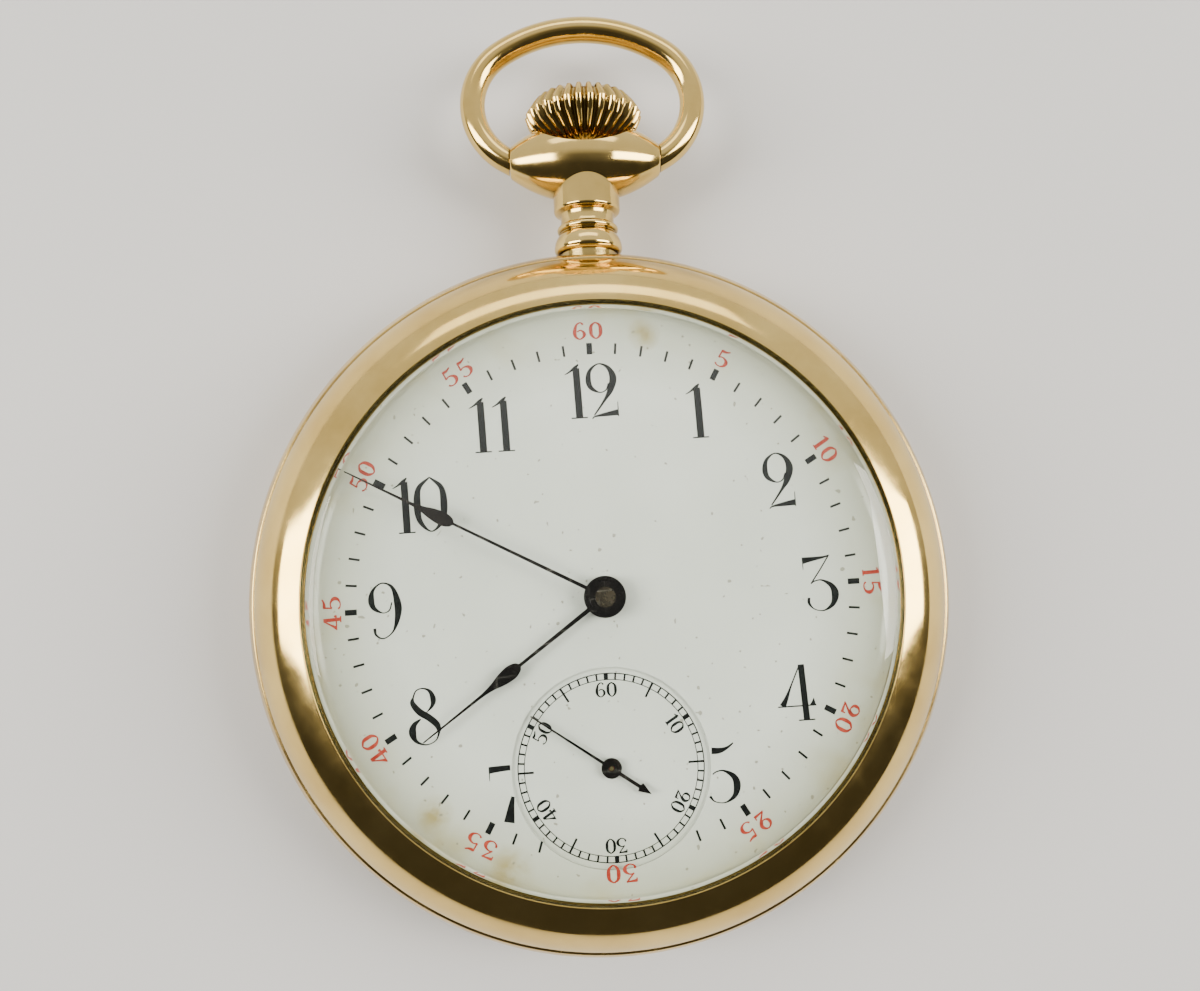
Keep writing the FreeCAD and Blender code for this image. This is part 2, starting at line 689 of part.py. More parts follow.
def make_crown():
    body = new_body("crown", z=d.stem_height, along_stem=True)
    low, high, wide = d.crown_low, d.crown_high, d.crown_radius
    valley = wide - d.ridge_depth
    bore, bore_end = d.stem_radius + d.seat_gap, low + 2.2
    turned(body, [
        (0.0, bore_end), (bore, bore_end), (bore, low), (2.3, low),
        (valley - 0.45, low + 1.33, -0.05),
        (valley, low + 2.3, -0.05),
        (valley - 0.8, high - 0.68, -0.04),
        (1.3, high - 0.1),
        (0.0, high),
    ])
    outline = new_sketch(body, "XZ_Plane")
    draw_edges(outline, [
        (1.9, low + 0.6), (2.36, low + 0.05),
        (wide - 0.46, low + 1.3, -0.05),
        (wide, low + 2.3, -0.05),
        (wide - 0.85, high - 0.55, -0.04),
        (1.9, high - 0.2),
    ])
    ridge = turn_solid(body, outline)
    ridge.Angle = 180 / CROWN_RIDGES
    ridge.Midplane = True
    around(body, ridge, CROWN_RIDGES, axis="V_Axis")


def make_stem():
    body = new_body("stem", z=d.stem_height, along_stem=True)
    square_end, round_end = 14.55, d.crown_low + 2.1
    flat = d.stem_square / 2
    slab(body, [(-flat, -flat), (flat, -flat), (flat, flat), (-flat, flat)], square_end, 17.5)
    turned(body, [
        (0.0, 17.35), (d.stem_radius, 17.35), (d.stem_radius, 26.5), (0.6, 26.7), (0.6, 27.0),
        (d.stem_radius, 27.2), (d.stem_radius, 28.4), (0.6, 28.6), (0.6, 28.9),
        (d.stem_radius, 29.1), (d.stem_radius, round_end), (0.0, round_end),
    ])


def make_stem_sleeve():
    body = new_body("stem_sleeve", z=d.stem_height, along_stem=True)
    outer = d.pendant_bore - d.seat_gap
    inner = d.stem_radius + d.running_gap
    turned(body, [(inner, 22.4), (outer, 22.4), (outer, 32.6), (inner + 0.25, 32.6),
                  (inner + 0.25, 30.0), (inner, 29.6)])
    sketch = new_sketch(body, offset=22.4)
    draw_edges(sketch, [(0.0, -0.15), (2.0, -0.15), (2.0, 0.15), (0.0, 0.15)])
    slit = sink_pocket(body, sketch, 4.5)
    around(body, slit, 4)


# ---------------------------------------------------------------- dial and hands

def make_dial():
    body = new_body("dial")
    disc(body, d.dial_radius, d.dial_under, d.dial_top, bore=1.45)
    round_cut(body, d.sink_radius, d.dial_top - d.dial_sink, d.dial_top + 0.5,
              SECONDS[0], SECONDS[1])
    round_cut(body, 0.45, d.dial_under - 0.5, d.dial_top, SECONDS[0], SECONDS[1])
    for x, y in ring_places(19.0, DIAL_FEET):
        disc(body, 0.45, d.plate_high - 0.9, d.dial_under + 0.1, x, y)


def make_hand(label, z, turn, length, hub, bore, stem, leaf_start, leaf_width):
    """A pear hand pointing to its local +Y: hub, thin stem, pear shaped leaf and long tip."""
    body = new_body(label, z=z, turn=-turn)
    thickness = 0.2
    disc(body, hub, 0.0, thickness, bore=bore)
    side = [
        (stem, hub - 0.15),
        (stem * 0.7, leaf_start),
        (leaf_width * 0.6, leaf_start + 0.15, -0.05),
        (leaf_width, leaf_start + 0.85, -0.05),
        (leaf_width * 0.5, leaf_start + 2.2, 0.03),
        (0.1, leaf_start + 3.5),
        (0.045, length),
    ]
    mirrored = []
    for k in range(len(side) - 1, -1, -1):
        mirrored.append((-side[k][0], side[k][1]) + side[k - 1][2:] * (k > 0))
    slab(body, side + mirrored, 0.0, thickness)
    return body


def make_hour_hand():
    body = make_hand("hour_hand", 10.12, HOUR_ANGLE, d.hour_length, d.hour_hub, d.hour_bore,
                     0.155, 7.45, 0.5)
    disc(body, d.hour_hub - 0.05, -0.15, 0.25, bore=d.hour_bore)


def make_minute_hand():
    body = make_hand("minute_hand", 10.68, MINUTE_ANGLE, d.minute_length, d.minute_hub,
                     d.minute_bore, 0.13, 11.55, 0.47)
    disc(body, 1.1, -0.1, 0.35, bore=d.minute_bore)


def make_seconds_hand():
    body = new_body("seconds_hand", x=SECONDS[0], y=SECONDS[1], z=9.72, turn=-SECONDS_ANGLE)
    disc(body, 0.7, 0.0, 0.12, bore=0.2)
    disc(body, 0.38, -0.2, 0.2, bore=0.2)
    slab(body, [(-0.1, 0.55), (0.1, 0.55), (0.05, d.seconds_length), (-0.05, d.seconds_length)],
         0.0, 0.12)
    slab(body, [(0.12, -0.55), (-0.12, -0.55), (-0.12, -2.3), (-0.32, -2.35), (0.0, -3.25),
                (0.32, -2.35), (0.12, -2.3)], 0.0, 0.12)


def make_cannon_pinion():
    body = new_body("cannon_pinion", turn=CANNON_TURN)
    leaves(body, CANNON_LEAVES, d.motion_module, d.plate_high + 0.05, d.plate_high + 0.34)
    disc(body, 0.75, d.plate_high + 0.05, 10.56)
    disc(body, 0.7, 10.56, 11.12)
    round_cut(body, 0.47, 7.0, 11.0)


def make_hour_wheel():
    body = new_body("hour_wheel", turn=HOUR_TURN)
    low = d.plate_high + 0.38
    teeth(body, HOUR_TEETH, HOUR_MODULE, low, low + 0.22)
    disc(body, 1.2, low, 10.32)
    round_cut(body, 0.82, low - 0.5, 10.8)


def make_minute_wheel():
    body = new_body("minute_wheel", x=MINUTE[0], y=MINUTE[1], turn=MINUTE_TURN)
    low = d.plate_high + 0.05
    teeth(body, MINUTE_TEETH, d.motion_module, low, low + 0.25)
    cross_out(body, 0.9, 1.9, low - 0.1, low + 0.4, 4, 0.5)
    leaves(body, MINUTE_LEAVES, HOUR_MODULE, low + 0.2, low + 0.6)
    round_cut(body, 0.35, low - 0.1, low + 1.0)


def make_setting_wheels():
    for label, at, turn, count in (("setting_wheel", SETTING, SETTING_TURN, SETTING_TEETH),
                                   ("intermediate_setting_wheel", IDLER, IDLER_TURN,
                                    SMALL_SETTING_TEETH)):
        body = new_body(label, x=at[0], y=at[1], turn=turn)
        low = d.plate_high + 0.05
        teeth(body, count, d.motion_module, low, low + 0.25)
        round_cut(body, 0.45, low - 0.1, low + 0.4)


# ---------------------------------------------------------------- plates and bridges

def make_pillar_plate():
    body = new_body("pillar_plate")
    disc(body, d.movement_radius, d.plate_low, d.flange_seat + 0.1)
    disc(body, d.dial_radius, d.flange_seat, d.dial_under - d.seat_gap)
    round_cut(body, 20.0, d.plate_high, d.dial_under + 0.5)
    recesses = [(BARREL, 9.6, d.barrel_floor), (CENTRE, 2.2, d.train_floor),
                (THIRD, 5.8, d.train_floor), (SECONDS, 2.2, d.train_floor),
                (ESCAPE, 3.9, d.train_floor), (BALANCE, 3.4, d.train_floor),
                (PALLET, 2.6, d.train_floor), (FORK_MIDDLE, 1.9, d.train_floor)]
    for (x, y), radius, floor in recesses:
        round_cut(body, radius, d.plate_low - 1, floor, x, y)
    box_cut(body, -1.65, 1.65, 14.4, 19.2, d.plate_low - 1, 7.35)
    bore = new_sketch(body, "XZ_Plane", offset=-22.0)
    draw_circle(bore, d.stem_radius + 0.08, 0.0, d.stem_height)
    sink_pocket(body, bore, 4.0)
    for x, y in LOWER_JEWELS:
        round_cut(body, d.jewel_radius + d.seat_gap, d.plate_low - 1, 10.0, x, y)
    round_cut(body, 0.75, d.plate_low - 1, 10.0)
    round_cut(body, 0.55, d.plate_low - 1, 10.0, BARREL[0], BARREL[1])
    for x, y in ring_places(19.0, DIAL_FEET):
        round_cut(body, 0.5, d.plate_high - 1.0, 10.0, x, y)
    for x, y in BRIDGE_SCREWS + [COCK_FOOT, PALLET_FOOT] + ring_places(19.9, CASE_SCREWS):
        round_cut(body, 0.45, d.plate_low - 1, d.plate_low + 1.4, x, y)
    for x, y in (SETTING, IDLER):
        disc(body, 0.4, d.plate_high - 0.1, d.plate_high + 0.45, x, y)
    disc(body, 0.3, d.plate_high - 0.1, d.plate_high + 0.5, MINUTE[0], MINUTE[1])


def make_barrel_bridge():
    body = new_body("barrel_bridge")
    reach = d.movement_radius - 0.1
    first, last = 33, 187
    start, stop = ring_places(reach, (first, last))
    slab(body, [
        (start[0], start[1], -arc_rise(reach, first, last)),
        (stop[0], stop[1]),
        (-9.0, -2.0),
        (2.2, -2.2),
        (4.0, 3.0),
        (8.0, 7.0),
        (13.0, 9.5),
    ], d.bridge_low, d.plate_low - d.seat_gap)
    round_cut(body, 9.6, 5.6, d.plate_low + 0.5, BARREL[0], BARREL[1])
    round_cut(body, 7.2, d.bridge_roof, d.plate_low + 0.5)
    round_cut(body, d.crown_wheel_recess, d.bridge_low - 0.5, 4.85,
              CROWN_WHEEL[0], CROWN_WHEEL[1], core=3.2)
    box_cut(body, -1.65, 1.65, 14.4, 19.2, 4.25, d.plate_low + 0.5)
    bore = new_sketch(body, "XZ_Plane", offset=-22.0)
    draw_circle(bore, d.stem_radius + 0.08, 0.0, d.stem_height)
    sink_pocket(body, bore, 4.0)
    round_cut(body, 0.5, d.bridge_low - 0.5, 4.8, CROWN_WHEEL[0], CROWN_WHEEL[1])
    round_cut(body, 1.05, d.bridge_low - 0.5, 6.5, BARREL[0], BARREL[1])
    round_cut(body, d.jewel_radius + d.seat_gap, d.bridge_low - 0.5, 6.5)
    round_cut(body, 0.45, d.bridge_low - 0.5, 4.7, CLICK[0], CLICK[1])
    for x, y in BRIDGE_SCREWS[:3]:
        cut_screw_seat(body, x, y)


def cut_screw_seat(body, x, y):
    round_cut(body, 0.5, d.bridge_low - 1.5, d.plate_low + 0.5, x, y)
    round_cut(body, SCREW_HEAD + 0.05, d.bridge_low - 1.5, d.bridge_low + 0.6, x, y)


def make_train_bridge():
    body = new_body("train_bridge")
    reach = d.movement_radius - 0.1
    first, last = 197, 297
    start, stop = ring_places(reach, (first, last))
    slab(body, [
        (start[0], start[1], -arc_rise(reach, first, last)),
        (stop[0], stop[1]),
        (8.0, -14.2),
        (5.0, -11.2),
        (2.2, -9.6),
        (1.6, -3.4),
        (-8.0, -2.9),
    ], d.bridge_low, d.plate_low - d.seat_gap)
    for (x, y), radius in ((THIRD, 5.8), (SECONDS, 5.0), (ESCAPE, 1.6), (CENTRE, 7.2)):
        round_cut(body, radius, d.bridge_roof, d.plate_low + 0.5, x, y)
    round_cut(body, 3.9, 5.7, d.plate_low + 0.5, ESCAPE[0], ESCAPE[1])
    for x, y in (THIRD, SECONDS, ESCAPE):
        round_cut(body, d.jewel_radius + d.seat_gap, d.bridge_low - 0.5, 6.5, x, y)
    for x, y in BRIDGE_SCREWS[3:6]:
        cut_screw_seat(body, x, y)


def make_pallet_bridge():
    body = new_body("pallet_bridge")
    foot = PALLET_FOOT
    low, high = 5.05, d.plate_low - d.seat_gap
    arm_between(body, PALLET, 1.1, foot, 1.3, low, high)
    round_cut(body, 2.0, 5.55, high + 0.5, PALLET[0], PALLET[1])
    round_cut(body, 0.5, low - 0.5, high + 0.5, foot[0], foot[1])
    round_cut(body, d.jewel_radius + d.seat_gap, low - 0.5, high + 0.5, PALLET[0], PALLET[1])


def arm_between(body, start, start_radius, stop, stop_radius, low, high):
    """A plate shaped like two discs joined by their tangents."""
    line = math.atan2(float(stop[1]) - float(start[1]), float(stop[0]) - float(start[0]))
    side = line + math.pi / 2
    corners = []
    for (x, y), radius, sign in ((start, start_radius, 1), (start, start_radius, -1),
                                 (stop, stop_radius, -1), (stop, stop_radius, 1)):
        corners.append([x + sign * radius * math.cos(side), y + sign * radius * math.sin(side)])
    corners[0].append(-start_radius)
    corners[2].append(-stop_radius)
    corners[0][2] = -start_radius * 0.999
    corners[2][2] = -stop_radius * 0.999
    slab(body, corners, low, high)


def make_balance_cock():
    body = new_body("balance_cock")
    low, high = 2.0, 3.1
    arm_between(body, BALANCE, 2.3, COCK_FOOT, 2.3, low, high)
    disc(body, 2.3, low, d.plate_low - d.seat_gap, COCK_FOOT[0], COCK_FOOT[1])
    round_cut(body, 0.5, low - 0.5, 6.5, COCK_FOOT[0], COCK_FOOT[1])
    round_cut(body, SCREW_HEAD + 0.05, low - 0.5, low + 0.6, COCK_FOOT[0], COCK_FOOT[1])
    round_cut(body, d.jewel_radius + d.seat_gap, low - 0.5, high + 0.5, BALANCE[0], BALANCE[1])
    round_cut(body, 0.36, low - 0.5, high + 0.5, STUD[0], STUD[1])


# ---------------------------------------------------------------- barrel and winding work

def make_mainspring_barrel():
    body = new_body("mainspring_barrel", x=BARREL[0], y=BARREL[1], turn=BARREL_TURN)
    low, high = 5.75, 7.4
    teeth(body, BARREL_TEETH, d.barrel_module, low, low + 0.5)
    disc(body, 8.55, low, high)
    round_cut(body, 8.1, low + 0.3, high + 0.5)
    round_cut(body, 0.85, low - 0.5, high)


def make_barrel_cover():
    body = new_body("barrel_cover", x=BARREL[0], y=BARREL[1])
    disc(body, 8.1 - d.seat_gap, 7.15, 7.38, bore=0.55)


def make_barrel_arbor():
    body = new_body("barrel_arbor", x=BARREL[0], y=BARREL[1])
    turned(body, [
        (0.0, 3.3), (0.62, 3.3), (0.62, 3.88), (1.0, 3.88), (1.0, 5.6), (0.8, 5.6), (0.8, 6.07),
        (1.6, 6.07), (1.6, 7.1), (0.5, 7.1), (0.5, 8.0), (0.0, 8.0),
    ])
    round_cut(body, 0.32, 3.0, 4.6)


def spiral_curve(inner, outer, turns):
    """A smooth curve that runs from the inner to the outer radius."""
    steps = int(turns * 16)
    points = []
    for k in range(steps + 1):
        angle = 2 * math.pi * turns * k / steps
        radius = inner + (outer - inner) * k / steps
        points.append(FreeCAD.Vector(radius * math.cos(angle), radius * math.sin(angle), 0))
    curve = Part.BSplineCurve()
    curve.interpolate(points)
    return curve, points[0], points[-1]


def spiral_band(inner, outer, turns, width):
    """A flat face that follows a spiral, half the width to each side."""
    near, near_start, near_end = spiral_curve(inner - width / 2, outer - width / 2, turns)
    far, far_start, far_end = spiral_curve(inner + width / 2, outer + width / 2, turns)
    return Part.Face(Part.Wire([
        near.toShape(), Part.makeLine(near_end, far_end), far.toShape(),
        Part.makeLine(far_start, near_start)]))


def make_spring(label, at, low, height, inner, outer, turns, width, turn=0.0):
    spring = doc.addObject("Part::Feature", label)
    spring.Label = label
    spring.Shape = spiral_band(inner, outer, turns, width).extrude(FreeCAD.Vector(0, 0, height))
    place(spring, x=at[0], y=at[1], z=low, turn=turn)


def make_ratchet_wheel():
    body = new_body("ratchet_wheel", x=BARREL[0], y=BARREL[1], turn=RATCHET_TURN)
    teeth(body, RATCHET_TEETH, WINDING_MODULE, 3.35, 3.77, addendum=0.9, width=1.25)
    round_cut(body, 0.64, 3.0, 4.2)


def make_crown_wheel():
    body = new_body("crown_wheel", x=CROWN_WHEEL[0], y=CROWN_WHEEL[1], turn=CROWN_TURN)
    teeth(body, CROWN_TEETH, WINDING_MODULE, 3.35, 3.85, addendum=0.9, width=1.25)
    disc(body, 4.05, 3.8, 4.25, bore=3.45)
    contrate = slab(body, [(3.45, -0.14), (4.05, -0.14), (4.05, 0.14), (3.45, 0.14)], 4.2, 4.7)
    around(body, contrate, CROWN_TEETH)
    round_cut(body, 0.75, 3.0, 4.2)
    round_cut(body, 1.35, 3.0, 3.6)


def make_winding_pinion():
    body = new_body("winding_pinion", z=d.stem_height, turn=180 / WINDING_LEAVES, along_stem=True)
    module = 2 * PINION_PITCH / WINDING_LEAVES
    teeth(body, WINDING_LEAVES, module, 17.4, 18.6, addendum=0.85, dedendum=1.25, width=1.2)
    disc(body, 1.1, 18.55, 19.1)
    round_cut(body, 0.86, 17.0, 19.5)


def make_clutch():
    body = new_body("clutch", z=d.stem_height, along_stem=True)
    turned(body, [(0.0, 15.9), (1.35, 15.9), (1.35, 16.3), (1.0, 16.35), (1.0, 16.75),
                  (1.35, 16.8), (1.35, 17.3), (0.0, 17.3)])
    flat = d.stem_square / 2 + d.running_gap / 2
    sketch = new_sketch(body, offset=15.0)
    draw_edges(sketch, [(-flat, -flat), (flat, -flat), (flat, flat), (-flat, flat)])
    sink_pocket(body, sketch, 3.0)
    sketch = new_sketch(body, offset=15.8)
    draw_edges(sketch, [(0.95, -0.12), (1.6, -0.12), (1.6, 0.12), (0.95, 0.12)])
    notch = sink_pocket(body, sketch, 0.35)
    around(body, notch, 12)


def make_click():
    body = new_body("click", x=CLICK[0], y=CLICK[1])
    tip_line = math.radians(direction(CLICK, BARREL) + 40)
    tip = (3.2 * math.cos(tip_line), 3.2 * math.sin(tip_line))
    arm_between(body, (0.0, 0.0), 0.95, tip, 0.25, 3.35, 3.85)
    round_cut(body, 0.5, 3.0, 4.2)


# ---------------------------------------------------------------- going train and escapement

def make_centre_wheel():
    body = new_body("centre_wheel", turn=CENTRE_TURN)
    turned(body, [
        (0.0, 4.05), (0.2, 4.05), (0.2, 4.75), (0.65, 4.75), (0.65, 7.7), (0.42, 7.75),
        (0.42, 10.9), (0.0, 10.9),
    ])
    teeth(body, CENTRE_TEETH, d.centre_module, 5.2, 5.45)
    cross_out(body, 2.4, 5.7, 5.0, 5.6, 5)
    leaves(body, CENTRE_LEAVES, d.barrel_module, 5.4, 6.5)


def make_wheel_on_arbor(label, at, turn, wheel, pinion, wheel_low, leaf_low, top=7.65):
    """A crossed-out wheel and a pinion on one arbor: (teeth, module) for each."""
    body = new_body(label, x=at[0], y=at[1], turn=turn)
    arbor(body, 0.35, 4.2, top)
    teeth(body, wheel[0], wheel[1], wheel_low, wheel_low + 0.25)
    rim = float(wheel[1]) * wheel[0] / 2
    cross_out(body, rim * 0.32, rim * 0.84, wheel_low - 0.1, wheel_low + 0.35, 5, rim * 0.14)
    leaves(body, pinion[0], pinion[1], leaf_low, leaf_low + 0.55)
    return body


def make_train():
    make_wheel_on_arbor("third_wheel", THIRD, THIRD_TURN, (THIRD_TEETH, d.third_module),
                        (THIRD_LEAVES, d.centre_module), 6.3, 5.08)
    fourth = make_wheel_on_arbor("fourth_wheel", SECONDS, FOURTH_TURN,
                                 (FOURTH_TEETH, d.fourth_module),
                                 (FOURTH_LEAVES, d.third_module), 5.22, 6.15)
    disc(fourth, d.pivot_radius, 7.5, 9.85)


def make_escape_wheel():
    body = new_body("escape_wheel", x=ESCAPE[0], y=ESCAPE[1], turn=ESCAPE_TURN)
    arbor(body, 0.3, 4.2, 7.65)
    low, high = 6.3, 6.55
    disc(body, 2.65, low, high)
    tooth = slab(body, [(2.5, -0.35), (d.escape_radius - 0.45, -0.12), (d.escape_radius, -0.02),
                        (d.escape_radius - 0.12, 0.22), (2.5, 0.15)], low, high)
    around(body, tooth, ESCAPE_TEETH)
    cross_out(body, 0.9, 2.2, low - 0.1, high + 0.1, 4, 0.5)
    leaves(body, ESCAPE_LEAVES, d.fourth_module, 5.08, 5.63)


def make_pallet_fork():
    turn = direction(PALLET, ESCAPE)
    body = new_body("pallet_fork", x=PALLET[0], y=PALLET[1], turn=turn)
    arbor(body, 0.28, 5.12, 7.6)
    low, high = 6.25, 6.6
    # local +X looks at the escape wheel, so the fork lies along -X
    disc(body, 0.6, low, high)
    slab(body, [(-0.3, -2.0), (0.45, -2.1), (0.5, -1.4), (0.35, -0.3), (0.35, 0.3),
                (0.5, 1.4), (0.45, 2.1), (-0.3, 2.0), (-0.5, 0.4), (-0.5, -0.4)], low, high)
    for side in (-1, 1):
        box_cut(body, 0.1, 0.8, side * 1.75 - 0.16, side * 1.75 + 0.16, low - 0.1, high + 0.1)
    reach = fork_reach()
    slab(body, [(-0.3, 0.25), (-reach + 0.9, 0.16), (-reach + 0.55, 0.42), (-reach, 0.5),
                (-reach, 0.24), (-reach + 0.6, 0.22), (-reach + 0.6, -0.22), (-reach, -0.24),
                (-reach, -0.5), (-reach + 0.55, -0.42), (-reach + 0.9, -0.16), (-0.3, -0.25)],
         low, high)


def fork_reach():
    """From the pallet arbor to the ends of the fork's horns."""
    return math.hypot(float(BALANCE[0] - PALLET[0]), float(BALANCE[1] - PALLET[1])) - 0.85


def make_pallet_jewels():
    turn = direction(PALLET, ESCAPE)
    stones = []
    for side in (-1, 1):
        stone = doc.addObject("Part::Box", "pallet_stone")
        stone.Length, stone.Width, stone.Height = 0.5, 0.28, 0.25
        place(stone, x=0.12, y=side * 1.75 - 0.14, z=6.3)
        stones.append(stone)
    group = doc.addObject("Part::Compound", "pallet_stones")
    group.Label = "pallet_stones"
    group.Links = stones
    place(group, x=PALLET[0], y=PALLET[1], turn=turn)


def make_balance():
    wheel = new_body("balance_wheel", x=BALANCE[0], y=BALANCE[1], turn=direction(PALLET, BALANCE))
    low, high = 3.9, 4.6
    disc(wheel, d.balance_radius - 0.45, low, high, bore=d.balance_radius - 1.15)
    slab(wheel, [(-6.95, -0.5), (6.95, -0.5), (6.95, 0.5), (-6.95, 0.5)], low + 0.2, high - 0.2)
    disc(wheel, 1.2, low, high - 0.1)
    round_cut(wheel, 0.5, low - 0.5, high + 0.5)
    staff = new_body("balance_staff", x=BALANCE[0], y=BALANCE[1])
    turned(staff, [
        (0.0, 2.1), (0.13, 2.1), (0.13, 2.6), (0.3, 2.65), (0.3, 3.25), (0.49, 3.25),
        (0.49, 3.6), (0.3, 3.6), (0.3, 3.88), (0.48, 3.88),
        (0.48, 4.62), (0.85, 4.62), (0.85, 5.0), (0.3, 5.05), (0.3, 7.1), (0.13, 7.15),
        (0.13, 7.62), (0.0, 7.62),
    ])
    roller = new_body("roller_table", x=BALANCE[0], y=BALANCE[1], turn=direction(BALANCE, PALLET))
    disc(roller, 1.45, 5.75, 6.05)
    disc(roller, 0.55, 5.3, 5.75)
    round_cut(roller, 0.32, 5.0, 6.5)
    pin = new_body("impulse_jewel", x=BALANCE[0], y=BALANCE[1], turn=direction(BALANCE, PALLET))
    disc(pin, 0.17, 6.06, 6.2, 1.2, 0.0)


def make_hairspring_stud():
    body = new_body("hairspring_stud", x=STUD[0], y=STUD[1])
    disc(body, 0.34, 2.15, 3.7)


def make_regulator():
    body = new_body("regulator", x=BALANCE[0], y=BALANCE[1], turn=REGULATOR_TURN)
    low, high = 1.6, 1.95
    disc(body, 1.7, low, high)
    slab(body, [(1.4, -0.35), (5.6, -0.12), (5.6, 0.12), (1.4, 0.35)], low, high)
    round_cut(body, 0.75, low - 0.2, high + 0.2)


# ---------------------------------------------------------------- repeated small pieces

def cylinder(name, radius, low, high, x, y):
    thing = doc.addObject("Part::Cylinder", name)
    bind(thing, "Radius", radius)
    bind(thing, "Height", high - low)
    place(thing, x=x, y=y, z=low)
    return thing


def group_of(label, pieces):
    group = doc.addObject("Part::Compound", label)
    group.Label = label
    group.Links = pieces


def screw(x, y, head_low, head_high, shank_high, head=SCREW_HEAD, shank=0.43):
    """A slotted screw whose head faces the back of the watch."""
    cap = cylinder("screw_head", head, head_low, head_high, x, y)
    rod = cylinder("screw_shank", shank, head_high - 0.05, shank_high, x, y)
    whole = doc.addObject("Part::Fuse", "screw")
    whole.Base, whole.Tool = cap, rod
    slot = doc.addObject("Part::Box", "screw_slot")
    slot.Length, slot.Width, slot.Height = 2 * head + 0.2, 0.22, 0.3
    place(slot, x=x - head - 0.1, y=y - 0.11, z=head_low - 0.08)
    cut = doc.addObject("Part::Cut", "slotted_screw")
    cut.Base, cut.Tool = whole, slot
    return cut


def make_screws():
    under = d.bridge_low + 0.6
    group_of("bridge_screws", [screw(x, y, d.bridge_low + 0.05, under, d.plate_low + 1.3)
                               for x, y in BRIDGE_SCREWS[:6]])
    group_of("cock_screws", [
        screw(COCK_FOOT[0], COCK_FOOT[1], 2.05, 2.6, d.plate_low + 1.3),
        screw(PALLET_FOOT[0], PALLET_FOOT[1], 4.78, 5.05, d.plate_low + 1.3, head=0.8)])
    group_of("case_screws", [screw(x, y, 5.25, d.plate_low - d.seat_gap, d.plate_low + 1.3, head=1.3)
                             for x, y in ring_places(19.9, CASE_SCREWS)])
    group_of("ratchet_screw", [screw(BARREL[0], BARREL[1], 3.0, 3.3, 4.5, head=1.3, shank=0.3)])
    group_of("wheel_screws", [
        screw(CROWN_WHEEL[0], CROWN_WHEEL[1], 3.05, 3.55, 4.7, head=1.25, shank=0.45),
        screw(CLICK[0], CLICK[1], 3.05, 3.32, 4.6, head=0.8, shank=0.42)])


def jewel(x, y, low, high, bore):
    ring = cylinder("jewel_ring", d.jewel_radius, low, high, x, y)
    hole = cylinder("jewel_hole", bore, low - 0.2, high + 0.2, x, y)
    cut = doc.addObject("Part::Cut", "jewel")
    cut.Base, cut.Tool = ring, hole
    return cut


def make_jewels():
    bore = d.pivot_radius + 0.03
    stones = [jewel(x, y, 7.37, 7.7, bore) for x, y in LOWER_JEWELS]
    stones += [jewel(x, y, 4.15, 4.5, bore) for x, y in (THIRD, SECONDS, ESCAPE)]
    stones.append(jewel(0.0, 0.0, 4.1, 4.7, 0.24))
    stones.append(jewel(PALLET[0], PALLET[1], 5.1, 5.42, bore))
    stones.append(jewel(BALANCE[0], BALANCE[1], 2.15, 2.5, bore))
    group_of("jewels", stones)


# ---------------------------------------------------------------- build, check and write

make_case_center()
make_pendant()
make_bow()
make_bezel()
make_crystal()
make_back_cover()
make_crown()
make_stem()
make_stem_sleeve()
make_dial()
make_hour_hand()
make_minute_hand()
make_seconds_hand()
make_cannon_pinion()
make_hour_wheel()
make_minute_wheel()
make_setting_wheels()
make_pillar_plate()
make_barrel_bridge()
make_train_bridge()
make_pallet_bridge()
make_balance_cock()
make_mainspring_barrel()
make_barrel_cover()
make_barrel_arbor()
make_spring("mainspring", BARREL, 6.15, 0.9, 1.9, 7.7, 7, 0.22)
make_ratchet_wheel()
make_crown_wheel()
make_winding_pinion()
make_clutch()
make_click()
make_centre_wheel()
make_train()
make_escape_wheel()
make_pallet_fork()
make_pallet_jewels()
make_balance()
make_spring("hairspring", BALANCE, 3.3, 0.25, 0.57, 4.15, 11, 0.08, turn=math.degrees(STUD_LINE))
make_hairspring_stud()
make_regulator()
make_screws()
make_jewels()
doc.recompute()

inner = {link.Name for thing in doc.Objects if thing.TypeId == "Part::Compound" for link in thing.Links}
pieces = [thing for thing in doc.Objects
          if thing.TypeId in ("PartDesign::Body", "Part::Compound", "Part::Feature")
          and thing.Name not in inner]
for thing in doc.Objects:
    bad = [word for word in thing.State if word in ("Invalid", "Error")]
    if bad:
        raise RuntimeError(f"{thing.Name} ({thing.Label}) is {bad}")
for thing in pieces:
    if thing.Shape.isNull() or not thing.Shape.isValid():
        raise RuntimeError(f"{thing.Label} has no valid shape")
    if thing.TypeId == "PartDesign::Body" and len(thing.Shape.Solids) != 1:
        raise RuntimeError(f"{thing.Label} has {len(thing.Shape.Solids)} solids")
for thing in pieces:
    thing.Shape.exportStep(f"parts/{thing.Label}.step")
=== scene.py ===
import json
import math

import bmesh
import bpy
from mathutils import Matrix, Vector


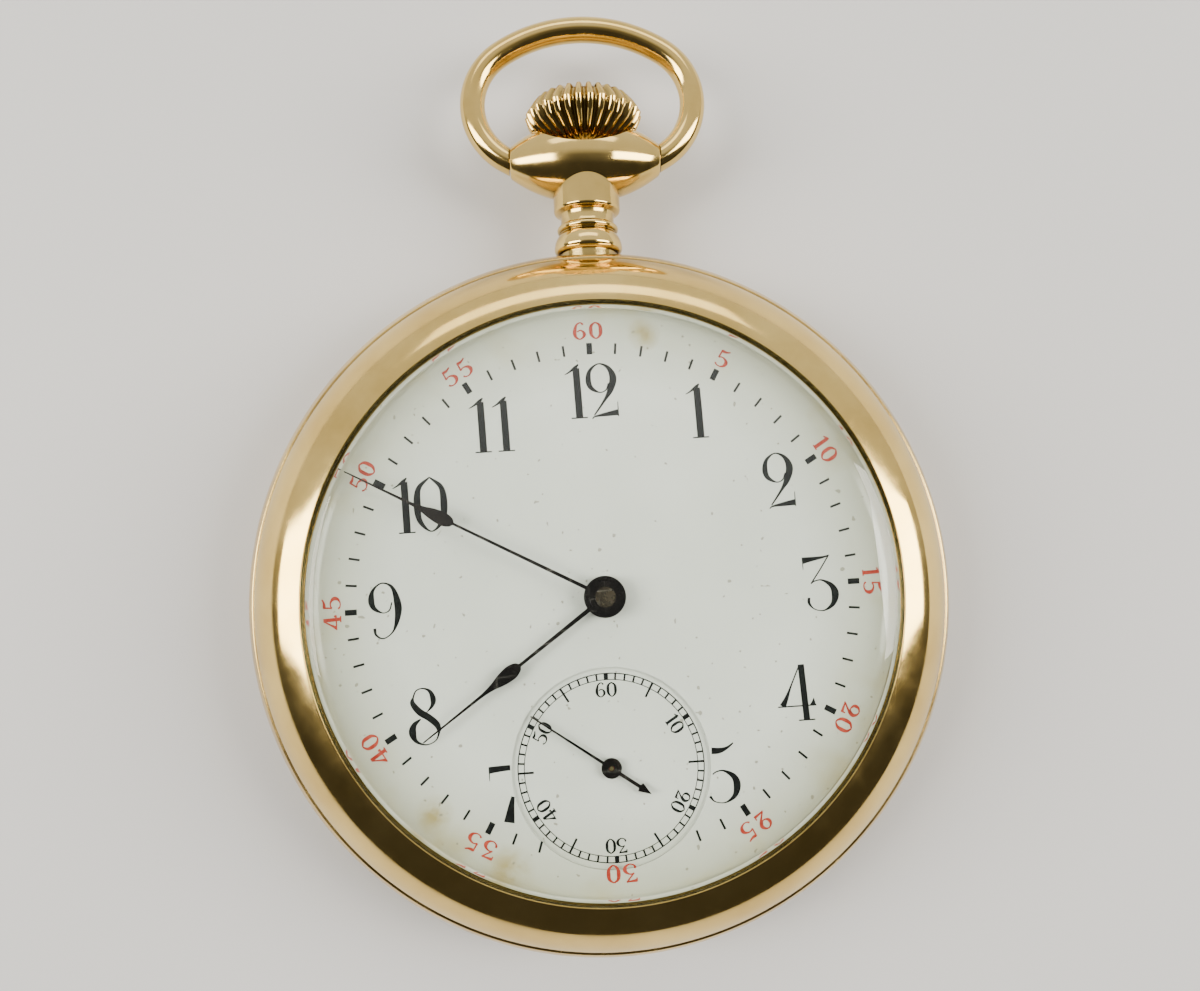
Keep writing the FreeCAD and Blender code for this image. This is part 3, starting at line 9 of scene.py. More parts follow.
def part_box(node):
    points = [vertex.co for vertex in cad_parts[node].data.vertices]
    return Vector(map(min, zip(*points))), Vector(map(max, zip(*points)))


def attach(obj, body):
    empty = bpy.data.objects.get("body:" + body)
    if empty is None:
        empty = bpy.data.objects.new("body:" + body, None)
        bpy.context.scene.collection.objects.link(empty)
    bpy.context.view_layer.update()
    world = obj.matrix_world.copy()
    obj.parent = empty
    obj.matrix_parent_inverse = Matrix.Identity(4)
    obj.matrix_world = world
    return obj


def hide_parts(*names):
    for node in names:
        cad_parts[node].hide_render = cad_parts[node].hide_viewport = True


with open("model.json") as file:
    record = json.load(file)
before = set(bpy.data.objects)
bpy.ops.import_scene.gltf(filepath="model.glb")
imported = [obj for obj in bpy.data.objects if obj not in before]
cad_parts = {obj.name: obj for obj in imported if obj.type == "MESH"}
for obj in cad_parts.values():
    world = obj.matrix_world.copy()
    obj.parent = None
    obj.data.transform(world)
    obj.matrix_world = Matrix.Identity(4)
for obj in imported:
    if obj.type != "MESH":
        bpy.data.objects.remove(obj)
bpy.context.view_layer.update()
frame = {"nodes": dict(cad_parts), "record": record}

MM = 0.001
FULL_TURN = 2 * math.pi
SEGMENTS = 288

# ---------------------------------------------------------------- places from the frame, in mm


def corners(node):
    """The low and high corners of a CAD node's box, in mm."""
    low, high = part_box(node)
    return low / MM, high / MM


case_low, case_high = corners("case_center")
bezel_low, bezel_high = corners("bezel")
back_high = corners("back_cover")[1]
glass_low, glass_high = corners("crystal")
dial_high = corners("dial")[1]
pendant_low, pendant_high = corners("pendant")
crown_low, crown_high = corners("crown")
bow_low, bow_high = corners("bow")
fourth_low, fourth_high = corners("fourth_wheel")

CASE_RADIUS = case_high.x
# bore of the bezel and of the back cover over the case band's screw lands
SKIRT_BORE = 23.65
BEZEL_FOOT = bezel_high.x
BEZEL_TOP = bezel_high.z
DIAL_TOP = dial_high.z
SEAT_RADIUS = glass_high.x
# bezel bore that holds the crystal, and the height of the crystal's seated edge
OPENING = SEAT_RADIUS - 0.32
EDGE_HEIGHT = 0.6
STEM_HEIGHT = (crown_low.z + crown_high.z) / 2
CROWN_RADIUS = crown_high.x
HEAD_HALF = pendant_high.x
SECONDS = Vector(((fourth_low.x + fourth_high.x) / 2, (fourth_low.y + fourth_high.y) / 2, 0))
# the sunk seconds dial: its radius and how far it lies below the main dial
SINK_RADIUS = 6.85
SINK_DEPTH = 0.25
# the movement and its dial printing sit slightly anticlockwise in the case
DIAL_LEAN = math.radians(1.25)
SINK_TOP = DIAL_TOP - SINK_DEPTH
WIRE = (bow_high.z - bow_low.z) / 2
# closer than this, in mm, two values count as equal
TINY = 1e-6


# ---------------------------------------------------------------- mesh helpers

def link(name, mesh):
    thing = bpy.data.objects.new(name, mesh)
    bpy.context.scene.collection.objects.link(thing)
    return thing


def finish_mesh(name, bm, material, sharp=math.radians(32)):
    """Turn a bmesh in mm into an object in metres with smooth faces and sharp corners."""
    bmesh.ops.remove_doubles(bm, verts=bm.verts, dist=1e-5)
    bmesh.ops.recalc_face_normals(bm, faces=bm.faces)
    bmesh.ops.scale(bm, vec=(MM, MM, MM), verts=bm.verts)
    mesh = bpy.data.meshes.new(name)
    bm.to_mesh(mesh)
    bm.free()
    for face in mesh.polygons:
        face.use_smooth = True
    mesh.set_sharp_from_angle(angle=sharp)
    mesh.materials.append(material)
    return link(name, mesh)


def arc(start, stop, rise, steps=12):
    """Points from start to just before stop on an arc that bows out by rise to the left."""
    start, stop = Vector(start), Vector(stop)
    run = stop - start
    if abs(rise) < TINY:
        return [start]
    radius = (run.length_squared / 4 + rise * rise) / (2 * abs(rise))
    side = 1 if rise > 0 else -1
    left = Vector((-run.y, run.x)).normalized() * side
    centre = (start + stop) / 2 - left * (radius - abs(rise))
    sweep = 2 * math.asin(min(1.0, run.length / 2 / radius))
    if abs(rise) > radius:
        sweep = FULL_TURN - sweep
    points = []
    for k in range(steps):
        turn = Matrix.Rotation(-side * sweep * k / steps, 2)
        points.append(centre + turn @ (start - centre))
    return points


def outline(corners_with_rise, steps=12):
    """Corners as (u, v) or (u, v, rise of the edge that leaves it) to a list of points."""
    points = []
    count = len(corners_with_rise)
    for k, corner in enumerate(corners_with_rise):
        after = corners_with_rise[(k + 1) % count]
        rise = corner[2] if len(corner) == 3 else 0.0
        points += arc(corner[:2], after[:2], rise, steps)
    return points


def eased(points, radius, steps=4):
    """Round every sharp corner of a closed outline, as polishing does."""
    result = []
    count = len(points)
    for k, point in enumerate(points):
        before, after = points[k - 1], points[(k + 1) % count]
        inward, outward = before - point, after - point
        if inward.length < TINY or outward.length < TINY:
            continue
        if inward.angle(-outward) < math.radians(14) or point.x < TINY:
            result.append(point)
            continue
        cut = min(radius, inward.length * 0.45, outward.length * 0.45)
        first = point + inward.normalized() * cut
        last = point + outward.normalized() * cut
        for j in range(steps + 1):
            t = j / steps
            result.append(first.lerp(point, t).lerp(point.lerp(last, t), t))
    return result


def lathe(name, points, material, along="Z", centre=(0, 0, 0), segments=SEGMENTS):
    """Turn a closed outline of (radius, height) points about an axis through centre."""
    bm = bmesh.new()
    rings = []
    for k in range(segments):
        angle = FULL_TURN * k / segments
        ring = []
        for p in points:
            u, v, w = p.x * math.cos(angle), p.x * math.sin(angle), p.y
            spot = {"Z": (u, v, w), "Y": (u, w, v), "X": (w, u, v)}[along]
            ring.append(bm.verts.new(Vector(spot) + Vector(centre)))
        rings.append(ring)
    count = len(points)
    for k in range(segments):
        here, there = rings[k], rings[(k + 1) % segments]
        for j in range(count):
            i = (j + 1) % count
            if points[j].x < TINY and points[i].x < TINY:
                continue
            bm.faces.new((here[j], here[i], there[i], there[j]))
    return finish_mesh(name, bm, material)


def tube(name, path, radius, material, ends, sides=64):
    """A round wire along 3-D points in the XY plane, cut off square at x = -ends and x = ends."""
    bm = bmesh.new()
    rings = []
    up = Vector((0, 0, 1))
    for k, point in enumerate(path):
        heading = (path[min(k + 1, len(path) - 1)] - path[max(k - 1, 0)]).normalized()
        across = heading.cross(up).normalized()
        ring = []
        for j in range(sides):
            angle = FULL_TURN * j / sides
            spot = point + (across * math.cos(angle) + up * math.sin(angle)) * radius
            if k in (0, len(path) - 1):
                spot += heading * ((math.copysign(ends, point.x) - spot.x) / heading.x)
            ring.append(bm.verts.new(spot))
        rings.append(ring)
    for here, there in zip(rings, rings[1:]):
        for j in range(sides):
            i = (j + 1) % sides
            bm.faces.new((here[j], here[i], there[i], there[j]))
    bm.faces.new(rings[0])
    bm.faces.new(rings[-1])
    return finish_mesh(name, bm, material)


# ---------------------------------------------------------------- materials

class Nodes:
    """A short way to write a node material."""

    def __init__(self, name):
        self.material = bpy.data.materials.new(name)
        self.material.use_nodes = True
        self.tree = self.material.node_tree
        self.shader = self.tree.nodes["Principled BSDF"]
        self.output = self.tree.nodes["Material Output"]
        self.place = self.add("ShaderNodeTexCoord").outputs["Object"]

    def add(self, kind, **values):
        node = self.tree.nodes.new(kind)
        for key, value in values.items():
            if key in node.inputs:
                node.inputs[key].default_value = value
            else:
                setattr(node, key, value)
        return node

    def join(self, source, target):
        self.tree.links.new(source, target)

    def set(self, **values):
        for key, value in values.items():
            self.shader.inputs[key.replace("_", " ")].default_value = value

    def noise(self, scale, detail=3.0, roughness=0.5, stretch=None):
        place = self.place
        if stretch:
            mapping = self.add("ShaderNodeMapping")
            mapping.inputs["Scale"].default_value = stretch
            self.join(place, mapping.inputs["Vector"])
            place = mapping.outputs["Vector"]
        node = self.add("ShaderNodeTexNoise", Scale=scale, Detail=detail, Roughness=roughness)
        self.join(place, node.inputs["Vector"])
        return node.outputs["Fac"]

    def ramp(self, source, stops):
        node = self.add("ShaderNodeValToRGB")
        points = node.color_ramp.elements
        while len(points) < len(stops):
            points.new(0.5)
        for point, (position, colour) in zip(points, stops):
            point.position = position
            point.color = (*colour, 1.0) if len(colour) == 3 else colour
        self.join(source, node.inputs["Fac"])
        return node.outputs["Color"]

    def span(self, source, low, high, from_low=0.3, from_high=0.7):
        node = self.add("ShaderNodeMapRange")
        for key, value in (("From Min", from_low), ("From Max", from_high),
                           ("To Min", low), ("To Max", high)):
            node.inputs[key].default_value = value
        self.join(source, node.inputs["Value"])
        return node.outputs["Result"]

    def mix(self, factor, first, second):
        node = self.add("ShaderNodeMix", data_type="RGBA")
        self.join(factor, node.inputs["Factor"])
        for source, socket in ((first, node.inputs["A"]), (second, node.inputs["B"])):
            if isinstance(source, tuple):
                socket.default_value = (*source, 1.0)
            else:
                self.join(source, socket)
        return node.outputs["Result"]

    def calc(self, operation, first, second=0.0):
        node = self.add("ShaderNodeMath", operation=operation)
        for source, socket in ((first, node.inputs[0]), (second, node.inputs[1])):
            if isinstance(source, float):
                socket.default_value = source
            else:
                self.join(source, socket)
        return node.outputs["Value"]

    def distance(self, x, y):
        """How far a point lies from x, y in plan, in metres."""
        shift = self.add("ShaderNodeVectorMath", operation="SUBTRACT")
        shift.inputs[1].default_value = (x * MM, y * MM, 0.0)
        flat = self.add("ShaderNodeVectorMath", operation="MULTIPLY")
        flat.inputs[1].default_value = (1.0, 1.0, 0.0)
        length = self.add("ShaderNodeVectorMath", operation="LENGTH")
        self.join(self.place, shift.inputs[0])
        self.join(shift.outputs["Vector"], flat.inputs[0])
        self.join(flat.outputs["Vector"], length.inputs[0])
        return length.outputs["Value"]

    def crevice(self, reach):
        """Ambient occlusion mask for painted shade: one in tight corners, falling to zero on open
        faces.
        """
        node = self.add("ShaderNodeAmbientOcclusion", Distance=reach * MM, samples=4)
        return self.span(node.outputs["AO"], 1.0, 0.0, 0.35, 0.95)

    def bump(self, source, strength, distance):
        node = self.add("ShaderNodeBump", Strength=strength, Distance=distance)
        self.join(source, node.inputs["Height"])
        if self.shader.inputs["Normal"].is_linked:
            self.join(self.shader.inputs["Normal"].links[0].from_socket, node.inputs["Normal"])
        self.join(node.outputs["Normal"], self.shader.inputs["Normal"])


def metal(name, light, dark, rough=(0.1, 0.2), scratch=0.12, grain=900.0, rub=None):
    """Polished metal: cloudy tarnish, painted shade in crevices, uneven polish, hairline scratches
    and rubbed streaks.
    """
    m = Nodes(name)
    m.set(Metallic=1.0)
    tarnish = m.ramp(m.noise(140.0, 5.0, 0.6), [(0.3, dark), (0.62, light)])
    # Painted shade with some grime: this dark tone fills the crevices that ambient occlusion finds.
    crevice_shade_and_grime = tuple(c * 0.22 for c in dark)
    if rub:
        for stretch in ((1.0, 0.05, 1.0), (0.07, 1.0, 1.0)):
            streaks = m.span(m.noise(grain * 1.7, 3.0, 0.6, stretch), 0.0, 0.9, 0.60, 0.68)
            tarnish = m.mix(streaks, tarnish, rub)
    # Painted shade in crevices, from ambient occlusion, darkens the metal's colour.
    m.join(m.mix(m.crevice(0.5), tarnish, crevice_shade_and_grime), m.shader.inputs["Base Color"])
    m.join(m.span(m.noise(grain * 0.5, 6.0, 0.65), *rough), m.shader.inputs["Roughness"])
    m.bump(m.noise(grain, 4.0, 0.6, (1.0, 0.06, 1.0)), scratch, 2e-6)
    m.bump(m.noise(grain * 1.3, 4.0, 0.6, (0.06, 1.0, 1.0)), scratch, 2e-6)
    return m.material


GOLD = metal("gold_fill", (0.84, 0.60, 0.20), (0.68, 0.46, 0.13), (0.07, 0.18))
WORN_GOLD = metal("worn_gold", (0.80, 0.56, 0.19), (0.55, 0.37, 0.13), (0.14, 0.30), 0.2)
STEEL = metal("polished_steel_parts", (0.62, 0.63, 0.65), (0.50, 0.51, 0.53), (0.14, 0.28))
NICKEL = metal("nickel_plates_finish", (0.74, 0.72, 0.67), (0.66, 0.64, 0.59), (0.2, 0.34), 0.3,
               2500.0)
BRASS = metal("gilt_brass_parts", (0.83, 0.64, 0.30), (0.72, 0.53, 0.24), (0.16, 0.3))
HANDS = metal("dark_oxide_hands", (0.050, 0.042, 0.036), (0.014, 0.013, 0.013), (0.12, 0.34),
              0.3, 1400.0, rub=(0.30, 0.28, 0.25))
AGED_STEEL = metal("aged_steel_arbor", (0.26, 0.22, 0.15), (0.10, 0.08, 0.05), (0.18, 0.36), 0.4,
                   1800.0, rub=(0.5, 0.46, 0.4))
BLUED = metal("blued_steel_parts", (0.035, 0.042, 0.07), (0.02, 0.024, 0.035), (0.16, 0.3))


def ruby():
    """Clouded red stone."""
    m = Nodes("ruby_stones")
    m.set(Roughness=0.08, IOR=1.76)
    m.join(m.ramp(m.noise(900.0), [(0.35, (0.35, 0.01, 0.05)), (0.65, (0.62, 0.04, 0.13))]),
           m.shader.inputs["Base Color"])
    m.bump(m.noise(2600.0), 0.1, 2e-6)
    return m.material


def enamel():
    """Fired white enamel: grey green clouds, painted shade towards the rim, old stains, specks and
    wavy gloss.
    """
    m = Nodes("fired_enamel")
    m.set(Roughness=0.16, IOR=1.5, Coat_Weight=0.3, Coat_Roughness=0.05)
    colour = m.ramp(m.noise(75.0, 4.0), [(0.3, (0.63, 0.65, 0.59)), (0.65, (0.71, 0.725, 0.67))])
    blotches = m.noise(420.0, 5.0, 0.62)
    # Painted shade: the dial darkens towards the rim, where the bezel shades it.
    rim_shade = m.span(m.distance(0, 0), 0.0, 0.85, 0.0145, 0.0208)
    colour = m.mix(rim_shade, colour, (0.42, 0.43, 0.31))
    # More painted shade near the rim, broken up by noise into darker yellow patches.
    uneven_rim_shade = m.calc("MULTIPLY", m.span(m.distance(0, 0), 0.0, 1.0, 0.0165, 0.0205),
                         m.span(m.noise(210.0, 3.0, 0.55), 0.0, 0.7, 0.52, 0.72))
    colour = m.mix(uneven_rim_shade, colour, (0.42, 0.37, 0.18))
    for x, y, reach in ((3.5, 18.4, 1.3), (-7.3, -18.3, 2.0), (-12.2, -14.3, 1.5)):
        near = m.span(m.distance(x, y), 1.0, 0.0, 0.2 * reach * MM, reach * MM)
        colour = m.mix(m.calc("MULTIPLY", near, m.span(blotches, 0.35, 1.0, 0.38, 0.56)), colour,
                       (0.36, 0.30, 0.13))
    specks = m.span(m.noise(2000.0, 1.0, 0.4), 0.0, 0.7, 0.735, 0.77)
    m.join(m.mix(specks, colour, (0.22, 0.20, 0.14)), m.shader.inputs["Base Color"])
    m.bump(m.noise(160.0, 2.0), 0.06, 4e-5)
    return m.material


def ink(name, dark, light):
    """Fired dial paint with small chips and uneven strength."""
    m = Nodes(name)
    m.set(Roughness=0.7, Specular_IOR_Level=0.05)
    m.join(m.ramp(m.noise(2200.0, 5.0, 0.7), [(0.3, dark), (0.72, light)]),
           m.shader.inputs["Base Color"])
    m.bump(m.noise(3000.0), 0.2, 4e-6)
    return m.material


def crystal_glass():
    """Clear glass; shadow rays, rays caught inside it and flat-angled rays go straight through."""
    m = Nodes("watch_crystal")
    m.set(Base_Color=(0.97, 0.99, 0.97, 1.0), Roughness=0.0, IOR=1.5, Transmission_Weight=1.0)
    m.bump(m.noise(500.0, 2.0), 0.01, 1e-5)
    clear = m.add("ShaderNodeBsdfTransparent", Color=(0.94, 0.96, 0.94, 1.0))
    path = m.add("ShaderNodeLightPath")
    split = m.add("ShaderNodeSeparateXYZ")
    m.join(m.add("ShaderNodeNewGeometry").outputs["Incoming"], split.inputs[0])
    flat_angled = m.span(m.calc("ABSOLUTE", split.outputs["Z"]), 0.9, 0.0, 0.5, 0.75)
    caught = m.calc("GREATER_THAN", path.outputs["Ray Depth"], 3.5)
    through = m.calc("MAXIMUM", m.calc("MAXIMUM", caught, flat_angled),
                     path.outputs["Is Shadow Ray"])
    mixed = m.add("ShaderNodeMixShader")
    m.join(through, mixed.inputs[0])
    m.join(m.shader.outputs["BSDF"], mixed.inputs[1])
    m.join(clear.outputs["BSDF"], mixed.inputs[2])
    m.join(mixed.outputs["Shader"], m.output.inputs["Surface"])
    return m.material


ENAMEL = enamel()
BLACK_INK = ink("black_dial_paint", (0.0015, 0.002, 0.002), (0.010, 0.012, 0.011))
RED_INK = ink("red_dial_paint", (0.30, 0.020, 0.012), (0.44, 0.075, 0.05))
RUBY = ruby()
GLASS = crystal_glass()

FINISH = {"gold_case": GOLD, "polished_steel": STEEL, "nickel_plates": NICKEL, "gilt_brass": BRASS,
          "blued_steel": BLUED, "ruby": RUBY, "enamel": ENAMEL, "crystal_glass": GLASS}
# nodes whose finish differs from that of their slot, with the rounding of their edges in mm
NODE_FINISH = {"hour_hand": (HANDS, 0.06), "minute_hand": (HANDS, 0.06),
               "seconds_hand": (HANDS, 0.06), "cannon_pinion": (AGED_STEEL, 0.05)}


def finish_cad_nodes():
    """Give every CAD node the finish of its slot and a small polished edge."""
    for part in frame["record"]["subparts"]:
        name = part["node"]
        finish, edge = NODE_FINISH.get(name, (FINISH[part["material_slot"]], 0.02))
        node = frame["nodes"][name]
        node.data.materials.clear()
        node.data.materials.append(finish)
        if name != "crystal":
            soften(node, edge)


def soften(piece, width, segments=2, angle=40):
    """Round the sharp edges of a piece by width, in mm."""
    bevel = piece.modifiers.new("polished_edges", "BEVEL")
    bevel.width = width * MM
    bevel.segments = segments
    bevel.limit_method = "ANGLE"
    bevel.angle_limit = math.radians(angle)
    bevel.harden_normals = False


def shown(piece, body, slot, *nodes):
    """Put a piece on its body and let it stand in for the CAD nodes it covers."""
    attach(piece, body)
    if nodes:
        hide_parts(*nodes)


# ---------------------------------------------------------------- case

def make_case_center():
    """The band: a swelling rim between two screw lands, with the dial's ledge inside."""
    swell, land, joint_gap = 0.75, 23.6, 0.05
    low, high = back_high.z + joint_gap, bezel_low.z - joint_gap
    lower_bore, upper_bore, ledge_bore = 21.9, 21.6, 20.9
    ledge_low, ledge_high = 5.8, 8.0
    profile = outline([
        (lower_bore, case_low.z), (land, case_low.z), (land, low),
        (CASE_RADIUS - swell, low, -swell), (CASE_RADIUS - swell, high),
        (land, high), (land, case_high.z), (upper_bore, case_high.z),
        (upper_bore, ledge_high), (ledge_bore, ledge_high),
        (ledge_bore, ledge_low), (lower_bore, ledge_low)], 40)
    band = lathe("case_center_turned", eased(profile, 0.12), WORN_GOLD)
    shown(band, "case", "gold_case", "case_center")


def make_bezel():
    """A cone from the rolled foot to a rounded lip, with a groove for the crystal."""
    foot = bezel_low.z
    ridge = BEZEL_FOOT - 1.95
    ridge_height = BEZEL_TOP - 0.65
    slack = 0.02
    groove = SEAT_RADIUS + slack
    groove_low, groove_high = glass_low.z - slack, glass_low.z + EDGE_HEIGHT + slack
    shelf = OPENING - 0.2
    roof = case_high.z + 0.15
    profile = outline([
        (SKIRT_BORE, foot), (BEZEL_FOOT - 0.15, foot, -0.06), (BEZEL_FOOT, foot + 0.2, -0.16),
        (ridge, ridge_height), (ridge - 0.08, ridge_height + 0.05, -0.1),
        (OPENING + 0.12, BEZEL_TOP, -0.05), (OPENING, BEZEL_TOP - 0.12),
        (OPENING, groove_high), (groove, groove_high), (groove, groove_low),
        (shelf, groove_low), (shelf, roof), (SKIRT_BORE, roof)], 20)
    ring = lathe("bezel_turned", eased(profile, 0.06), GOLD, segments=360)
    shown(ring, "bezel_and_crystal", "gold_case", "bezel")


def make_back_cover():
    """A shallow dish with a flat middle and a screwed rim."""
    rim, wall = back_high.z, 0.5
    flat, shoulder, shoulder_height = 11.0, 23.2, 1.5
    profile = outline([
        (0.0, 0.0), (flat, 0.0, -0.15), (shoulder, shoulder_height, -0.25),
        (CASE_RADIUS - 0.8, rim - 0.2), (CASE_RADIUS - 0.95, rim), (SKIRT_BORE, rim),
        (SKIRT_BORE, case_low.z - 0.15), (shoulder - 0.25, shoulder_height + wall, 0.15),
        (flat, wall), (0.0, wall)], 24)
    cover = lathe("back_cover_turned", eased(profile, 0.1), WORN_GOLD)
    shown(cover, "back", "gold_case", "back_cover")


def make_crystal():
    """A slightly domed crystal with a ground bevel and a thin seated edge."""
    edge_top = glass_low.z + EDGE_HEIGHT
    wall = OPENING - 0.06
    bevel, bevel_top, crown = 19.85, glass_high.z - 0.9, glass_high.z
    thickness = 1.05
    under = crown - thickness
    middle = 0.5
    profile = outline([
        (0.0, under), (middle, under, (under - edge_top - 0.1) / 4), (bevel + 0.2, edge_top + 0.1),
        (bevel + 0.55, glass_low.z), (SEAT_RADIUS, glass_low.z), (SEAT_RADIUS, edge_top),
        (wall, edge_top), (wall, edge_top + 0.12),
        (bevel, bevel_top, (bevel_top - crown) / 4), (middle, crown), (0.0, crown)], 32)
    glass = lathe("crystal_ground", eased(profile, 0.05), GLASS, segments=360)
    shown(glass, "bezel_and_crystal", "crystal_glass", "crystal")


# ---------------------------------------------------------------- pendant, bow and crown

HEAD_Y = pendant_low.y + 10.75
HEAD_Z = STEM_HEIGHT


def cut_away(piece, cutter):
    """Take the cutter out of the piece and drop the cutter."""
    boolean = piece.modifiers.new("cut", "BOOLEAN")
    boolean.operation = "DIFFERENCE"
    boolean.solver = "EXACT"
    boolean.object = cutter
    graph = bpy.context.evaluated_depsgraph_get()
    mesh = bpy.data.meshes.new_from_object(piece.evaluated_get(graph))
    piece.modifiers.clear()
    piece.data = mesh
    mesh.set_sharp_from_angle(angle=math.radians(32))
    bpy.data.objects.remove(cutter)


def rod(radius, near, far):
    """Outline of a plain pin from near to far along its axis."""
    return outline([(0.0, near), (radius, near), (radius, far), (0.0, far)])


def make_pendant():
    """A turned neck under a football-shaped head with a saddle for the crown."""
    foot = CASE_RADIUS + 0.08
    shank, neck, waist, ring, bead, bore = 2.1, 2.5, 2.04, 2.08, 2.55, 1.55
    profile = outline([
        (bore, pendant_low.y), (shank, pendant_low.y), (shank, foot), (2.25, foot, -0.1),
        (bead, foot + 0.5, -0.12), (waist, foot + 1.6), (ring, foot + 1.65, -0.22),
        (ring, foot + 2.15), (waist, foot + 2.25, 0.05), (waist, foot + 3.05),
        (neck - 0.08, foot + 3.2), (neck, foot + 3.35), (neck, HEAD_Y), (bore, HEAD_Y)])
    neck_piece = lathe("pendant_neck_turned", eased(profile, 0.07), GOLD, "Y",
                       (0, 0, HEAD_Z), 128)
    shown(neck_piece, "case", "gold_case")
    middle, tip = pendant_high.z - HEAD_Z, 1.13
    head_centre = (0, HEAD_Y, HEAD_Z)
    football = outline([(0.0, -HEAD_HALF), (tip, -HEAD_HALF, tip - middle), (tip, HEAD_HALF),
                        (0.0, HEAD_HALF)], 48)
    head = lathe("pendant_head_turned", eased(football, 0.12), GOLD, "X", head_centre, 160)
    reach, brim, above = CROWN_RADIUS + 0.2, 2.08, 3.6
    hollow = outline([(0.0, 0.05), (1.9, 0.05, -0.55), (3.85, brim), (reach, brim),
                      (reach, above), (0.0, above)], 24)
    cut_away(head, lathe("saddle_cut", hollow, GOLD, "Y", head_centre, 160))
    for number, side in enumerate((-1, 1)):
        eye = rod(0.5, side * (HEAD_HALF - 1.5), side * (HEAD_HALF + 0.5))
        cut_away(head, lathe("eye_cut_%d" % number, eye, GOLD, "X", head_centre, 48))
    soften(head, 0.05, 3, 35)
    shown(head, "case", "gold_case", "pendant")


def make_bow():
    """A wire ring: one large arc over the top, a smaller arc each side, straight ends."""
    top = bow_high.y - WIRE
    side, side_y = 4.87, HEAD_Y + 4.5
    side_x = bow_high.x - WIRE - side
    drop = top - side_y
    top_radius = (side_x ** 2 + drop ** 2 - side ** 2) / (2 * (drop - side))
    top_centre = top - top_radius
    meet = math.atan2(side_y - top_centre, side_x)
    low = -math.radians(60)
    top_steps, side_steps = 40, 80
    right = []
    for k in range(top_steps + 1):
        angle = math.pi / 2 + (meet - math.pi / 2) * k / top_steps
        right.append((top_radius * math.cos(angle), top_centre + top_radius * math.sin(angle)))
    for k in range(1, side_steps + 1):
        angle = meet + (low - meet) * k / side_steps
        right.append((side_x + side * math.cos(angle), side_y + side * math.sin(angle)))
    inward = Vector((-math.sin(-low), -math.cos(-low), 0))
    last = Vector((*right[-1], HEAD_Z))
    cut = HEAD_HALF + 0.06
    half = [Vector((x, y, HEAD_Z)) for x, y in right]
    half.append(last + inward * (last.x - cut) / -inward.x)
    path = [Vector((-p.x, p.y, p.z)) for p in reversed(half[1:])] + half
    ring = tube("bow_wire", path, WIRE, GOLD, ends=cut)
    soften(ring, 0.07, 3, 50)
    shown(ring, "bow_ring", "gold_case", "bow")
    for name, hand in (("bow_pin_left", -1), ("bow_pin_right", 1)):
        pin = eased(rod(0.45, hand * (HEAD_HALF - 1.2), hand * (HEAD_HALF + 0.5)), 0.08)
        shown(lathe(name, pin, WORN_GOLD, "X", (0, HEAD_Y, HEAD_Z), 48), "bow_ring", "gold_case")


def make_crown():
    """A pumpkin-shaped crown: a turned profile whose radius dips at each of thirty flutes."""
    low, high, wide = crown_low.y, crown_high.y, CROWN_RADIUS
    bore, bore_depth = 0.82, 2.2
    profile = eased(outline([
        (0.0, low + bore_depth), (bore, low + bore_depth), (bore, low), (2.36, low + 0.02),
        (wide - 0.46, low + 1.3, -0.05), (wide, low + 2.3, -0.05),
        (wide - 0.85, high - 0.55, -0.04), (1.9, high - 0.17), (1.3, high - 0.1), (0.0, high)],
        14), 0.16)
    flutes, samples = 30, 14
    flute_depth, flute_start, flute_run = 0.34, 1.9, 1.1
    bm = bmesh.new()
    rings = []
    for k in range(flutes * samples):
        angle = FULL_TURN * k / (flutes * samples)
        valley = 0.5 - 0.5 * math.cos(flutes * angle)
        ring = []
        for j, p in enumerate(profile):
            along = (profile[(j + 1) % len(profile)] - profile[j - 1]).normalized()
            outward = Vector((along.y, -along.x))
            share = min(1.0, max(0.0, (p.x - flute_start) / flute_run))
            depth = flute_depth * valley ** 1.8 * share
            q = p - outward * depth if p.x > flute_start else p
            ring.append(bm.verts.new((q.x * math.cos(angle), q.y, HEAD_Z + q.x * math.sin(angle))))
        rings.append(ring)
    count = len(profile)
    for k, here in enumerate(rings):
        there = rings[(k + 1) % len(rings)]
        for j in range(count):
            i = (j + 1) % count
            if profile[j].x < TINY and profile[i].x < TINY:
                continue
            bm.faces.new((here[j], here[i], there[i], there[j]))
    crown = finish_mesh("crown_fluted", bm, GOLD, math.radians(60))
    shown(crown, "crown_and_stem", "gold_case", "crown")


# ---------------------------------------------------------------- glyphs

